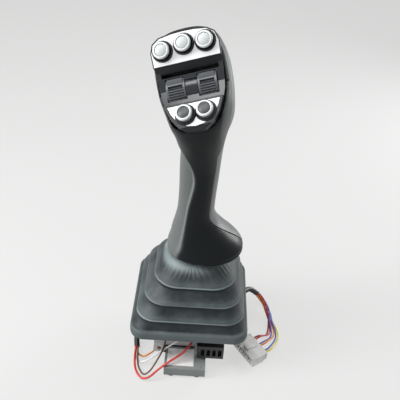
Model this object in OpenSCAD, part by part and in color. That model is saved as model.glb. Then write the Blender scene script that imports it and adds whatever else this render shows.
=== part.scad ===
// Two-axis hand controller with a right-hand grip: five push buttons and two thumb rollers in the
// head, a rubber boot over a gimbal, and a control module and wiring under the mounting flange.
// Millimetres. +Z is up, -Y faces the operator, and the origin is on the standing face under the pivot.

/* [Base] */
// Height from the standing face to the underside of the mounting flange
base_depth = 46; // [44:1:54]
// Side of the square mounting flange
flange_side = 104; // [98:1:112]
// Thickness of the mounting flange
flange_t = 3; // [2.5:0.5:4]
// Distance between the mounting holes
hole_pitch = 84; // [80:1:88]
// Diameter of the mounting holes
hole_d = 6.4; // [5.5:0.1:7]
// Width of the gimbal housing
housing_x = 66; // [64:1:72]
// Depth of the gimbal housing
housing_y = 64; // [62:1:68]
// Wall of the gimbal housing
housing_wall = 3.5; // [3:0.5:4]
// Thickness of the bottom cover
cover_t = 3; // [2:0.5:4]

/* [Gimbal] */
// Height of the pivot point
pivot_z = 27; // [26:0.5:28]
// Diameter of the lever shaft
shaft_d = 12; // [10:0.5:13]
// Diameter of the fore-and-aft stub shafts
stub_d = 8; // [6:0.5:9]
// Diameter of the side-to-side pins
pin_d = 6; // [5:0.5:7]
// Radial running clearance of every pin
running = 0.05; // [0.02:0.01:0.1]
// Wire of the centring springs
spring_wire = 1.2; // [1:0.1:1.4]

/* [Boot] */
// Side of the boot's rim
rim_side = 111; // [109:1:116]
// Wall of the boot
boot_wall = 2.2; // [1.6:0.1:3]

/* [Grip] */
// Wall of the grip shells
shell_wall = 2.6; // [2:0.2:3.4]
// Gap along the parting line
parting_gap = 0.3; // [0.2:0.05:0.5]
// Turn of the head towards the thumb
head_turn = 18; // [14:0.5:22]
// Backward tilt of the head's face
head_tilt = 38.5; // [35:0.5:42]
// Sideways cant of the head
head_cant = 23.5; // [18:0.5:25]

/* [Controls] */
// Diameter of the button caps
cap_d = 13.6; // [12:0.1:14]
// Travel of the buttons
button_travel = 2; // [1:0.1:2.4]
// Distance between the upper buttons
button_pitch = 17.8; // [17.4:0.1:18.6]
// Radius of the thumb rollers
roller_r = 13; // [12.4:0.1:13.6]
// Width of each thumb roller
roller_w = 15.2; // [14:0.1:15.6]
// Diameter of the roller axle
axle_d = 4; // [3:0.1:5]

/* [Wiring] */
// Diameter of a single wire
wire_d = 1.7; // [1.4:0.1:2]
// Diameter of the sleeved harness
sleeve_d = 5.8; // [4.6:0.1:6]

/* [Hidden] */
$fn = 48;

// ---- shared shapes -------------------------------------------------------------------------

module rounded_square(side_x, side_y, r) {
    square([side_x - 2 * r, side_y], center = true);
    square([side_x, side_y - 2 * r], center = true);
    for (sx = [-1, 1], sy = [-1, 1])
        translate([sx * (side_x / 2 - r), sy * (side_y / 2 - r)]) circle(r);
}

module tube(outer_r, inner_r, h) {
    difference() {
        cylinder(r = outer_r, h = h);
        translate([0, 0, -1]) cylinder(r = inner_r, h = h + 2);
    }
}

module along_x() { rotate([0, 90, 0]) children(); }
module along_y() { rotate([-90, 0, 0]) children(); }

// Screw with its head's underside at the origin and its shank down -Z.
module screw(d, length, head_d, head_h) {
    translate([0, 0, -length]) cylinder(d = d, h = length);
    difference() {
        cylinder(d = head_d, h = head_h);
        translate([0, 0, head_h * 0.4]) cylinder(d = head_d * 0.45, h = head_h, $fn = 6);
    }
}

function unit(v) = v / max(norm(v), 1e-9);
// A point of the smooth curve through four neighbouring points, between the middle two.
function spline_point(a, b, c, d, t) =
    0.5 * (2 * b + (c - a) * t + (2 * a - 5 * b + 4 * c - d) * t * t
        + (3 * b - a - 3 * c + d) * t * t * t);
function clamp_index(i, n) = max(0, min(n - 1, i));
// The rows of a table refined by smooth interpolation, with steps new rows for each old one.
function refined(rows, steps) = let (n = len(rows)) [
    for (i = [0 : n - 2], k = [0 : steps - 1])
        spline_point(rows[clamp_index(i - 1, n)], rows[i], rows[i + 1],
            rows[clamp_index(i + 2, n)], k / steps),
    rows[n - 1]];

// Closed skin over a list of rings of equal length, with flat ends.
module loft(rings) {
    n = len(rings[0]);
    m = len(rings);
    polyhedron(
        points = [for (ring = rings) each ring],
        faces = [
            [for (j = [0 : n - 1]) j],
            [for (j = [n - 1 : -1 : 0]) (m - 1) * n + j],
            for (i = [0 : m - 2], j = [0 : n - 1]) let (k = (j + 1) % n)
                [i * n + j, (i + 1) * n + j, (i + 1) * n + k, i * n + k]],
        convexity = 8);
}

// Skin over rings that close on themselves, outside up and inside down, such as a boot.
module loft_ring(rings) {
    n = len(rings[0]);
    m = len(rings);
    polyhedron(
        points = [for (ring = rings) each ring],
        faces = [for (i = [0 : m - 1], j = [0 : n - 1]) let (k = (j + 1) % n, i2 = (i + 1) % m)
            [i * n + j, i2 * n + j, i2 * n + k, i * n + k]],
        convexity = 8);
}

// Round tube of diameter d along a path. Its rings keep one sense of turn along the whole path.
module tube_along(path, d, sides = 8) {
    n = len(path);
    tangents = [for (i = [0 : n - 1])
        unit(path[clamp_index(i + 1, n)] - path[clamp_index(i - 1, n)])];
    first = unit(cross(tangents[0], abs(tangents[0][2]) < 0.8 ? [0, 0, 1] : [1, 0, 0]));
    sides_of = [for (i = 0, s = first; i < n; i = i + 1,
        s = i < n ? unit(s - (s * tangents[i]) * tangents[i]) : s) s];
    loft([for (i = [0 : n - 1]) let (s = unit(sides_of[i] - (sides_of[i] * tangents[i]) * tangents[i]),
        up = cross(tangents[i], s))
        [for (k = [0 : sides - 1]) let (a = -360 * k / sides)
            path[i] + d / 2 * (cos(a) * s + sin(a) * up)]]);
}

// ---- base ----------------------------------------------------------------------------------

inner_x = housing_x - 2 * housing_wall;
inner_y = housing_y - 2 * housing_wall;
housing_r = 6;
flange_r = 12;
flange_top = base_depth + flange_t;
gate_side = 28.8;
gate_r = 5;
corner_x = housing_x / 2 - 7;
corner_y = housing_y / 2 - 7;
boss_d = 8;
screw_d = 3;
foot_h = 1;

module at_corners() {
    for (sx = [-1, 1], sy = [-1, 1]) translate([sx * corner_x, sy * corner_y, 0]) children();
}

module bottom_cover() {
    color("#2b2d30") difference() {
        translate([0, 0, foot_h])
            linear_extrude(cover_t - foot_h) rounded_square(housing_x, housing_y, housing_r);
        at_corners() translate([0, 0, -1]) cylinder(d = screw_d + 0.4, h = cover_t + 2);
        at_corners() cylinder(d = screw_d * 2, h = foot_h + 0.6);
    }
}

module cover_feet() {
    color("#1c1c1e") {
        for (sx = [-1, 1], sy = [-1, 1])
            translate([sx * (corner_x - 11), sy * (corner_y - 3), 0]) cylinder(d = 9, h = foot_h);
        cylinder(d = 14, h = foot_h);
    }
}

module cover_screws() {
    color("#8d9195") at_corners() translate([0, 0, foot_h + 0.6]) mirror([0, 0, 1]) screw_cap();
}

// Low-head screw whose shank fits a housing boss.
module screw_cap() {
    translate([0, 0, -8]) cylinder(d = screw_d, h = 8);
    difference() {
        cylinder(d = screw_d * 2 - 0.2, h = 1.3);
        translate([0, 0, 0.6]) cylinder(d = screw_d * 0.8, h = foot_h, $fn = 6);
    }
}

module gimbal_housing() {
    h = base_depth - cover_t;
    color("#303236") difference() {
        union() {
            translate([0, 0, cover_t]) linear_extrude(h) difference() {
                rounded_square(housing_x, housing_y, housing_r);
                rounded_square(inner_x, inner_y, housing_r - housing_wall + 1);
            }
            intersection() {
                at_corners() translate([0, 0, cover_t]) cylinder(d = boss_d + 4, h = h);
                translate([0, 0, cover_t])
                    linear_extrude(h) rounded_square(housing_x, housing_y, housing_r);
            }
            for (sx = [-1, 1], y = [-21, -15])
                translate([sx * housing_x / 2, y, base_depth / 2 + 1])
                    cube([2.4, 1.6, h - 8], center = true);
            translate([inner_x / 2 - 4.9, -finger_t / 2, pivot_z + 9]) cube([6, finger_t, 4]);
        }
        along_x() translate([-pivot_z, 0, -housing_x])
            cylinder(d = stub_d + 4, h = 2 * housing_x);
        at_corners() translate([0, 0, cover_t - 1]) cylinder(d = screw_d, h = 9);
        at_corners() translate([0, 0, base_depth - 8]) cylinder(d = screw_d, h = 9);
    }
}

module mounting_flange() {
    color("#8f959b") difference() {
        translate([0, 0, base_depth])
            linear_extrude(flange_t) rounded_square(flange_side, flange_side, flange_r);
        translate([0, 0, base_depth - 1])
            linear_extrude(flange_t + 2) rounded_square(gate_side, gate_side, gate_r);
        for (sx = [-1, 1], sy = [-1, 1])
            translate([sx * hole_pitch / 2, sy * hole_pitch / 2, base_depth - 1])
                cylinder(d = hole_d, h = flange_t + 2);
        at_corners() translate([0, 0, base_depth - 1]) cylinder(d = screw_d + 0.4, h = flange_t + 2);
    }
}

module flange_screws() {
    color("#8d9195") at_corners() translate([0, 0, flange_top]) screw(screw_d, 10, 5.6, 2);
}

bush_flange_t = 1.5;

module pitch_bushes() {
    color("#a8763e") for (sx = [-1, 1])
        translate([sx * (inner_x / 2 - bush_flange_t), 0, pivot_z])
            along_x() mirror([0, 0, sx < 0 ? 1 : 0]) {
                tube(stub_d / 2 + 2, stub_d / 2 + running, housing_wall + bush_flange_t);
                tube(stub_d / 2 + 3.4, stub_d / 2 + running, bush_flange_t);
            }
}

// ---- gimbal --------------------------------------------------------------------------------

ring_x = 44;
ring_y = 40;
ring_h = 12;
ring_in_x = 28;
ring_in_y = 26;
block_x = 21;
block_y = 24;
block_h = 15;
hub_r = 5.7;
stub_end = housing_x / 2 - 0.5;
pin_end = ring_y / 2 + 4.4;
finger_t = 2.8;

module gimbal_yoke() {
    color("#9aa0a6") difference() {
        union() {
            translate([0, 0, pivot_z - ring_h / 2])
                linear_extrude(ring_h) rounded_square(ring_x, ring_y, 5);
            for (side = [-1, 1]) translate([0, 0, pivot_z]) along_x() mirror([0, 0, side < 0 ? 1 : 0]) {
                cylinder(d = stub_d, h = stub_end);
                cylinder(r = hub_r, h = inner_x / 2 - bush_flange_t - 0.2);
            }
            for (side = [-1, 1]) translate([0, 0, pivot_z]) along_y() mirror([0, 0, side < 0 ? 1 : 0])
                cylinder(r = hub_r, h = ring_y / 2 + 4);
        }
        translate([0, 0, pivot_z - ring_h / 2 - 1])
            linear_extrude(ring_h + 2) rounded_square(ring_in_x, ring_in_y, 3);
        translate([0, -ring_y, pivot_z]) along_y() cylinder(r = pin_d / 2 + 1.5, h = 2 * ring_y);
    }
}

module roll_bushes() {
    color("#a8763e") for (side = [-1, 1])
        translate([0, 0, pivot_z]) along_y() mirror([0, 0, side < 0 ? 1 : 0])
            translate([0, 0, ring_in_y / 2])
                tube(pin_d / 2 + 1.5, pin_d / 2 + running, (ring_y - ring_in_y) / 2 + 4);
}

module lever_block() {
    color("#b9bdc1") difference() {
        union() {
            translate([0, 0, pivot_z]) cube([block_x, block_y, block_h], center = true);
            translate([0, -pin_end, pivot_z]) along_y() cylinder(d = pin_d, h = 2 * pin_end);
            translate([0, 0, pivot_z + block_h / 2]) cylinder(d = shaft_d + 5, h = 4);
        }
        translate([0, 0, pivot_z - block_h]) cylinder(d = shaft_d, h = 2 * block_h);
    }
}

// Torsion spring about +Z with both legs standing along +X.
module torsion_spring(r, turns, pitch, leg) {
    steps = 18;
    n = turns * steps;
    coil = [for (i = [0 : n]) let (a = 360 * i / steps)
        [r * cos(a), r * sin(a), pitch * i / steps]];
    side = finger_t / 2 + spring_wire / 2 + 0.15;
    path = concat([[leg, side, 0]], [for (i = [1 : n - 1]) coil[i]], [[leg, -side, pitch * turns]]);
    tube_along(path, spring_wire, 6);
}

module pitch_spring() {
    coil_r = hub_r + 0.3 + spring_wire / 2;
    color("#c4c8cc") translate([ring_x / 2 + 0.9, 0, pivot_z]) along_x() rotate([0, 0, 180])
        torsion_spring(coil_r, 2, spring_wire + 0.15, 11);
}

module roll_spring() {
    coil_r = hub_r + 0.3 + spring_wire / 2;
    color("#c4c8cc") translate([0, ring_y / 2 + 0.9, pivot_z]) along_y() rotate([0, 0, -90])
        torsion_spring(coil_r, 2, spring_wire + 0.15, 10);
}

magnet_d = 6;

module pitch_magnet() {
    color("#5c6064") translate([-stub_end - 1.5, 0, pivot_z]) along_x() cylinder(d = magnet_d, h = 1.5);
}

module pitch_sensor_board() {
    x = -housing_x / 2 - 4.2;
    color("#1f5a3a") {
        translate([x, -11, pivot_z - 10]) cube([1.4, 22, 20]);
        for (y = [-9, 9]) translate([x + 1.4, y, pivot_z + 8]) along_x() cylinder(d = 3, h = 2.8);
    }
    color("#26282b") translate([x + 1.4, -2.5, pivot_z - 2.5]) cube([0.9, 5, 5]);
}

module roll_magnet() {
    color("#5c6064") translate([0, -pin_end - 1.2, pivot_z]) along_y()
        cylinder(d = magnet_d - 1, h = 1.2);
}

module roll_sensor_board() {
    y = -pin_end - 3;
    color("#1f5a3a") difference() {
        union() {
            translate([-8, y, pivot_z - 5]) cube([16, 1.2, 11]);
            for (x = [-7.6, 5.6]) translate([x, y, pivot_z + 1]) cube([2, -y - ring_y / 2, 4]);
        }
    }
}

module lever_shaft() {
    color("#c9cdd1") {
        translate([0, 0, pivot_z - block_h / 2])
            cylinder(d = shaft_d, h = neck_z + 33 - pivot_z + block_h / 2);
        translate([0, 0, neck_z + 33]) cylinder(d1 = shaft_d, d2 = shaft_d - 3, h = 2);
    }
}

// ---- boot ----------------------------------------------------------------------------------

// Outer profile of the boot above the flange: half side less the rim's, height, sideways shift
// and corner radius.
rim_half = rim_side / 2;
neck_z = flange_top + 66;
BOOT_FOLDS = [
    [-3.2, 5.6, 0, 14], [-4.4, 9, 0, 16], [-4.9, 13, 0.3, 18], [-4.2, 16, 0.5, 19],
    [-5.2, 17.8, 0.6, 19], [-8.8, 22.6, 1, 20], [-11, 28, 1.5, 20], [-10, 31.4, 1.8, 21],
    [-9.4, 32.4, 2, 22], [-10.6, 34, 2, 22], [-15, 38.8, 2.6, 22], [-18, 44, 3.1, 22],
    [-17.2, 47.4, 3.2, 23], [-16.8, 48.4, 3.2, 24], [-18.4, 50.4, 3, 24], [-22.4, 55, 2.4, 24],
    [-27.4, 60, 1.4, 23], [-31.6, 63.2, 0.6, 21], [-36, 64.6, 0.2, 18], [-39.4, 64.9, 0, 15.6],
    [-39.4, 66, 0, 15.6]];

CORNER_STEPS = 5;
// One ring of the boot: a rounded square.
function boot_ring(half, z, shift, r) = [
    for (q = [0 : 3], k = [0 : CORNER_STEPS]) let (a = 90 * q + 90 * k / CORNER_STEPS,
        cx = (q == 0 || q == 3) ? half - r : r - half, cy = q < 2 ? half - r : r - half)
        [cx + r * cos(a) + shift, cy + r * sin(a), z]];

// Half side of the boot's inside at the neck, which grips the clamp's lower collar.
neck_inner = 14;
boot_skirt = flange_side / 2 + 0.25 - rim_half;
inner_folds = [for (i = [len(BOOT_FOLDS) - 5 : -1 : 1])
    BOOT_FOLDS[i] - [boot_wall, boot_wall * 0.8, 0, min(2, boot_wall)]];

module boot() {
    rows = concat(
        [[0, -4.6, 0, 13], [0.3, -3, 0, 13], [0.3, 3, 0, 14], [-0.8, 4.8, 0, 14]],
        BOOT_FOLDS,
        [for (z = [66, 61.6]) [neck_inner - rim_half, z, 0, neck_inner - 0.05]],
        inner_folds,
        [[-5.4 - boot_wall, 3.4, 0, 12], [-5.4 - boot_wall, 0.05, 0, 12],
        [boot_skirt, 0.05, 0, flange_r], [boot_skirt, -flange_t - 0.3, 0, flange_r],
        [boot_skirt - 2.6, -flange_t - 0.3, 0, flange_r - 2],
        [boot_skirt - 2.6, -4.6, 0, flange_r - 2]]);
    color("#2f3336") loft_ring([for (row = rows)
        boot_ring(rim_half + row[0], flange_top + row[1], row[2], row[3])]);
}

// ---- grip ----------------------------------------------------------------------------------

// Sections of the grip and head: centre x, y, height above the neck, half width, half depth in
// front and behind, turn, tilt and cant of the section, roundness power, and the parting line's
// place in depth.
grip_bottom = neck_z + 2;
SECTIONS = [
    [10.2, -0.5, 2, 33.6, 28.6, 28, 0, 0, 0, 0.92, 4],
    [10.4, -0.5, 4.4, 35.4, 30.4, 30, 0, 0, 0, 0.92, 4],
    [10.4, -0.5, 8, 35.6, 30.6, 30, 0, 0, 0, 0.92, 4],
    [10, -0.5, 11.4, 34.4, 29.6, 29.4, 0, 0, 0, 0.92, 4],
    [8.2, -0.4, 17, 31.2, 27.4, 28, 0, 0, 0, 0.92, 4],
    [4.6, -0.2, 24, 26.4, 24.6, 26, 0, 0, 0, 0.94, 4],
    [1.2, 0, 33, 20.8, 21.8, 24.4, 0, 0, 0, 0.96, 4],
    [-0.2, 0, 43, 17.6, 20.4, 23.6, 0, 0, 0, 0.96, 4],
    [-0.1, 0, 55, 17.2, 20, 23.4, 0, 0, 0, 0.96, 4],
    [0.3, 0, 69, 17.6, 20, 23.6, 0, 0, 0, 0.96, 4],
    [0.8, -0.4, 83, 18, 20, 24, 0, 0, 0, 0.96, 4],
    [1.3, -1.6, 97, 18.2, 20.2, 24.4, 0, 0, 0, 0.94, 4],
    [1.8, -4.4, 111, 18.6, 22.4, 26.6, 4, 7, 3, 0.9, 3],
    [1.8, -9.4, 125, 20.4, 26.6, 30.6, 10, 19, 11, 0.84, 1],
    [0.8, -14.6, 137, 23.4, 26.6, 32, 15, 30, 18, 0.74, -1.6],
    [-0.4, -11.4, 146.1, 26.4, 24, 29.4, head_turn, head_tilt, head_cant, 0.66, -3],
    [-3.1, -2.6, 155.5, 28.8, 25, 26, head_turn, head_tilt, head_cant, 0.6, -4],
    [-6, 7, 165.9, 29.8, 25.4, 24, head_turn, head_tilt, head_cant, 0.58, -4],
    [-9.1, 17, 176.7, 29.4, 25.4, 22.6, head_turn, head_tilt, head_cant, 0.6, -4],
    [-11.7, 25.7, 186, 26.4, 24.2, 19.6, head_turn, head_tilt, head_cant, 0.68, -4],
    [-13.1, 30.3, 191, 21.6, 21, 15.4, head_turn, head_tilt, head_cant, 0.76, -4],
    [-13.7, 32.3, 193.1, 13, 14, 9, head_turn, head_tilt, head_cant, 0.86, -4]];
RING_N = 32;
rows_of_grip = refined(SECTIONS, 2);

// Axes of a section: along its width, towards its back, and up through it.
function turned(v, turn, tilt, cant) = let (
    a = [v[0] * cos(cant) - v[1] * sin(cant), v[0] * sin(cant) + v[1] * cos(cant), v[2]],
    b = [a[0], a[1] * sin(tilt) - a[2] * cos(tilt), a[1] * cos(tilt) + a[2] * sin(tilt)])
    [b[0] * cos(turn) + b[1] * sin(turn), b[1] * cos(turn) - b[0] * sin(turn), b[2]];
function signed_pow(v, p) = sign(v) * pow(abs(v), p);
function bell(v, middle, spread) = exp(-pow((v - middle) / spread, 2));

// Depth of the thumb's hollow on the left, at angle a and height z above the neck.
function hollow(a, z) = 3.6 * bell(a, 214, 24) * bell(z, 91, 26)
    + 1.2 * bell(a, 180, 26) * bell(z, 71, 30);

// One ring of the grip, drawn in by inset.
function grip_ring(row, inset) = let (
    c = [row[0], row[1], neck_z + row[2]], ux = turned([1, 0, 0], row[6], row[7], row[8]),
    uy = -turned([0, 0, 1], row[6], row[7], row[8]))
    [for (k = [0 : RING_N - 1]) let (a = 360 * k / RING_N, h = inset + hollow(a, row[2]))
        c + ux * (row[3] - h) * signed_pow(cos(a), row[9])
        + uy * ((a > 180 ? row[4] : row[5]) - h) * signed_pow(sin(a), row[9])];

module grip_skin() { loft([for (row = rows_of_grip) grip_ring(row, 0)]); }

module grip_hollow() {
    last = len(rows_of_grip) - 1;
    rows = [for (i = [0 : last - 3]) rows_of_grip[i]];
    first = rows[0];
    below = [for (j = [0 : len(first) - 1]) j == 2 ? first[2] - 3 : first[j]];
    loft([for (row = concat([below], rows)) grip_ring(row, shell_wall)]);
}

// Everything behind the parting line, starting extra behind it.
module behind_parting(extra) {
    n = len(SECTIONS);
    function corner(row, side, back, lift) = let (ux = turned([1, 0, 0], row[6], row[7], row[8]),
        uy = -turned([0, 0, 1], row[6], row[7], row[8]), uz = turned([0, 1, 0], row[6], row[7], row[8]))
        [row[0], row[1], neck_z + row[2]] + ux * side + uy * back + uz * lift;
    loft([for (i = [0 : n - 1]) let (row = SECTIONS[i], lift = i == 0 ? -6 : i == n - 1 ? 8 : 0)
        [corner(row, 48, row[10] + extra, lift), corner(row, 48, 44, lift),
        corner(row, -48, 44, lift), corner(row, -48, row[10] + extra, lift)]]);
}

// The head's face: x across it, y up it and z out of it, at the rollers.
face_at = [-8.7, -12, neck_z + 170];
fold = 7.5;
module at_face() {
    translate(face_at) rotate([0, 0, -head_turn]) rotate([90 - head_tilt, 0, 0])
        rotate([0, 0, head_cant]) children();
}
module at_top_plate() { at_face() rotate([fold, 0, 0]) children(); }
module at_lower_plate() { at_face() rotate([-fold, 0, 0]) children(); }

// Takes away all that stands before the face, down to a depth below each plate.
module before_face(depth) {
    at_top_plate() translate([-60, -0.5, -depth]) cube([120, 90, 60]);
    at_lower_plate() translate([-60, -75, -depth]) cube([120, 75.5, 60]);
}

bezel_t = 6;
module grip_front_shell() {
    color("#232527") difference() {
        grip_skin();
        grip_hollow();
        behind_parting(-parting_gap);
        before_face(bezel_t);
        at_top_plate() for (p = TOP_SPOTS)
            translate([p[0], p[1], -12]) cylinder(r = switch_r + 1.2, h = 8);
    }
}

module grip_rear_shell() {
    color("#35383b") intersection() {
        difference() {
            grip_skin();
            grip_hollow();
        }
        behind_parting(0);
    }
}

module grip_base() {
    z = grip_bottom + 1.6;
    color("#1d1f21") difference() {
        union() {
            loft([for (i = [2, 4]) grip_ring(rows_of_grip[i], shell_wall - 0.5)]);
            translate([0, 0, z - 2.4]) cylinder(d = 31, h = 3.6);
            translate([0, 0, z + 2.9]) cylinder(d = 24, h = 12);
        }
        translate([0, 0, z - 5]) cylinder(d = shaft_d, h = 30);
        translate([0, 7, z + 10]) along_y() cylinder(d = 4, h = 12);
    }
}

module grip_clamp() {
    color("#6f757b") difference() {
        union() {
            translate([0, 0, neck_z - 5.5]) cylinder(r = neck_inner - 0.2, h = 5.6);
            translate([0, 0, neck_z]) cylinder(r = 15.5, h = grip_bottom + 1.6 - 2.4 - neck_z);
        }
        translate([0, 0, neck_z - 8]) cylinder(d = shaft_d, h = 16);
    }
}

// ---- head ----------------------------------------------------------------------------------

top_low = 19;
lower_high = -14.6;
well_side = 23.4;
collar_r = cap_d / 2 + 1;
guide_d = 4;
plate_t = 1.2;
lip = 1.4;
TOP_SPOTS = [[-button_pitch, 30.2], [-0.2, 32.4], [button_pitch - 0.8, 31.2]];
LOWER_SPOTS = [[-7.3, -23.2], [9.1, -23.2]];

// Outline of the whole face.
FACE = [[-28.2, 20], [-28.4, 31], [-26, 38], [-20, 42], [-10, 43.6], [0, 44], [10, 43.6],
    [20, 42], [26, 38], [28.4, 31], [28.2, 20], [27.6, 8], [26.4, -6], [23.8, -16],
    [20, -25.6], [14.6, -33.4], [7, -37.8],
    [0, -38.8], [-7, -37.8], [-14.6, -33.4], [-20, -25.6], [-23.8, -16], [-26.4, -6], [-27.6, 8]];
function shrunk(shape, by) = [for (p = shape) p * (1 - by / norm(p))];

module top_outline(inset) {
    intersection() {
        polygon(shrunk(FACE, inset));
        translate([-40, top_low]) square([80, 60]);
    }
}

module lower_outline(inset) {
    intersection() {
        polygon(shrunk(FACE, inset));
        translate([0, 3.2]) polygon(shrunk(FACE, inset));
        polygon([[-40, lower_high - 3.4], [-22.6, lower_high], [22.6, lower_high],
            [40, lower_high - 3.4], [40, -60], [-40, -60]]);
    }
}

module top_plate() {
    color("#c8ccd0") at_top_plate() difference() {
        translate([0, 0, -lip]) linear_extrude(plate_t) top_outline(1.9);
        for (p = TOP_SPOTS) translate([p[0], p[1], -5]) cylinder(r = collar_r + 0.1, h = 9);
    }
}

module lower_plate() {
    color("#c8ccd0") at_lower_plate() difference() {
        translate([0, 0, -lip]) linear_extrude(plate_t) lower_outline(2);
        for (p = LOWER_SPOTS) translate([p[0], p[1], -5]) cylinder(r = collar_r + 0.1, h = 9);
    }
}

// Depth of the cheeks beside the rollers, and a prism across the head with an outline of up and out.
cheek = 4.6;
module across(outline, half) {
    rotate([90, 0, 90]) translate([0, 0, -half]) linear_extrude(2 * half) polygon(outline);
}

module head_bezel() {
    color("#191a1c") difference() {
        union() {
            at_top_plate() difference() {
                translate([0, 0, -bezel_t]) linear_extrude(bezel_t) intersection() {
                    polygon(shrunk(FACE, 0.9));
                    translate([-40, -1.6]) square([80, 60]);
                }
                translate([0, 0, -lip]) linear_extrude(bezel_t) top_outline(1.7);
            }
            at_lower_plate() difference() {
                translate([0, 0, -bezel_t]) linear_extrude(bezel_t) intersection() {
                    polygon(shrunk(FACE, 0.9));
                    translate([-40, -60]) square([80, 61.6]);
                }
                translate([0, 0, -lip]) linear_extrude(bezel_t) lower_outline(1.8);
            }
            at_top_plate() for (p = TOP_SPOTS)
                translate([p[0], p[1], -bezel_t]) cylinder(r = collar_r, h = bezel_t + 0.8);
            at_lower_plate() for (p = LOWER_SPOTS)
                translate([p[0], p[1], -bezel_t]) cylinder(r = collar_r, h = bezel_t + 0.8);
        }
        at_top_plate() for (p = TOP_SPOTS)
            translate([p[0], p[1], -20]) cylinder(d = cap_d + 0.6, h = 40);
        at_lower_plate() for (p = LOWER_SPOTS)
            translate([p[0], p[1], -20]) cylinder(d = cap_d + 0.6, h = 40);
        at_top_plate() across([[-2, 30], [-2, -cheek], [14.5, -cheek], [18.6, -1.2], [18.6, 30]], 60);
        at_top_plate() across([[-2, 10], [-2, -30], [12.6, -30], [12.6, -6.2], [15, -4.2],
            [15, 10]], well_side);
        at_lower_plate() across([[2, 30], [2, -cheek], [-12, -cheek], [lower_high + 1.4, -1.6],
            [lower_high + 1.4, 30]], 60);
        at_lower_plate() across([[2, 10], [2, -30], [lower_high + 1.6, -30],
            [lower_high + 1.6, 10]], well_side);
        at_lower_plate() across([[-33, 0.2], [-41, -3.4], [-60, -3.4], [-60, 20], [-33, 20]], 60);
    }
}

roller_at = [0, 0, -12.4];
deck_high = 9.8;
deck_low = lower_high + 1.8;
module deck(low, high) {
    intersection() {
        polygon(shrunk(FACE, 1));
        translate([-40, low]) square([80, high - low]);
    }
}
module roller_cradle() {
    side = well_side + 0.5;
    gap = 0.5;
    half = 4.7;
    color("#141517") {
        difference() {
            union() {
                at_top_plate() translate([0, 0, -cheek]) linear_extrude(1) deck(-1, deck_high);
                at_lower_plate() translate([0, 0, -cheek]) linear_extrude(1) deck(deck_low, 1);
                at_top_plate() translate([-side, -1, -cheek - 1])
                    cube([2 * side, deck_high + 1, 1.2]);
                at_lower_plate() translate([-side, deck_low, -cheek - 1])
                    cube([2 * side, 1 - deck_low, 1.2]);
                at_face() translate([-half, 0, 0]) translate(roller_at) along_x()
                    cylinder(r = roller_r - 1.2, h = 2 * half);
                at_face() for (sx = [-1, 1])
                    translate([sx * (half + roller_w + 2 * gap + 1), roller_at[1], roller_at[2]])
                        along_x() translate([0, 0, -1]) cylinder(r = 8.4, h = 2);
            }
            at_face() for (sx = [-1, 1])
                translate([sx * (half + gap + roller_w / 2), roller_at[1], roller_at[2]])
                    along_x() translate([0, 0, -roller_w / 2 - gap])
                        cylinder(r = roller_r + 0.5, h = roller_w + 2 * gap);
            at_face() translate([-40, roller_at[1], roller_at[2]]) along_x()
                cylinder(d = axle_d, h = 80);
            at_face() translate([-half + 1.6, -12, roller_at[2] - 14]) cube([2 * half - 3.2, 24, 10]);
        }
    }
}

module roller_axle() {
    half = 4.7 + roller_w + 2 * 0.5 + 2;
    color("#b9bdc1") at_face() translate([-half, roller_at[1], roller_at[2]]) along_x()
        cylinder(d = axle_d, h = 2 * half);
}

// Side view of a thumb roller: bold ribs below, a notch, then a smooth strip and a fine knurl above.
function roller_edge(a, i) = a < 1 ? roller_r - (i % 4 < 2 ? 0 : 1.2) : a < 9.5 ? roller_r - 2.8
    : a < 17 ? roller_r - 0.3 : roller_r - (i % 2 == 0 ? 0.5 : 0);
ROLLER_SIDE = concat(
    [for (i = [0 : 48]) let (a = -53 + i * 2.2, r = roller_edge(a, i)) [r * sin(a), r * cos(a)]],
    [[6.4, -2.5], [3.6, -6], [-3.6, -6], [-6.4, -2.5]]);

module roller(side) {
    w = roller_w;
    color("#101113") at_face() translate([side * (4.7 + 0.5 + w / 2), roller_at[1], roller_at[2]])
        rotate([90, 0, 90]) difference() {
            union() {
                translate([0, 0, -w / 2 + 1.6]) linear_extrude(w - 3.2) polygon(ROLLER_SIDE);
                for (z = [-w / 2, w / 2 - 1.7]) translate([0, 0, z]) linear_extrude(1.7) difference() {
                    circle(roller_r - 0.8);
                    translate([-20, -30 - 4]) square([40, 30]);
                }
            }
            translate([0, 0, -w]) cylinder(d = axle_d + 2 * running, h = 2 * w);
        }
}
module left_roller() { roller(-1); }
module right_roller() { roller(1); }

// Push-button cap with its rim at the plate and its guide stem below, outward along +Z.
module cap() {
    r = cap_d / 2;
    rotate_extrude() polygon([[0, -8.6], [guide_d / 2, -8.6], [guide_d / 2, -2.4], [r, -2.4], [r, 3.8],
        [r - 0.2, 4.7], [r - 0.7, 5.5], [r - 1.3, 5.9], [r - 1.8, 5.9], [r - 2.1, 5.6], [0, 5.6]]);
}
module top_left_button() {
    color("#5a5e62") at_top_plate() translate([TOP_SPOTS[0][0], TOP_SPOTS[0][1], 0]) cap();
}
module top_middle_button() {
    color("#5a5e62") at_top_plate() translate([TOP_SPOTS[1][0], TOP_SPOTS[1][1], 0]) cap();
}
module top_right_button() {
    color("#5a5e62") at_top_plate() translate([TOP_SPOTS[2][0], TOP_SPOTS[2][1], 0]) cap();
}
module lower_left_button() {
    color("#2a2c2e") at_lower_plate() translate([LOWER_SPOTS[0][0], LOWER_SPOTS[0][1], 0]) cap();
}
module lower_right_button() {
    color("#2a2c2e") at_lower_plate() translate([LOWER_SPOTS[1][0], LOWER_SPOTS[1][1], 0]) cap();
}

switch_top = 2.4 + button_travel + 0.5;
switch_low = 10.4;
switch_r = 4.6;
module switch_body() {
    translate([0, 0, -switch_low]) tube(switch_r, guide_d / 2 + running, switch_low - switch_top);
    translate([0, 0, -8.2]) tube(switch_r + 0.7, switch_r - 0.2, 2.2);
}

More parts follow.
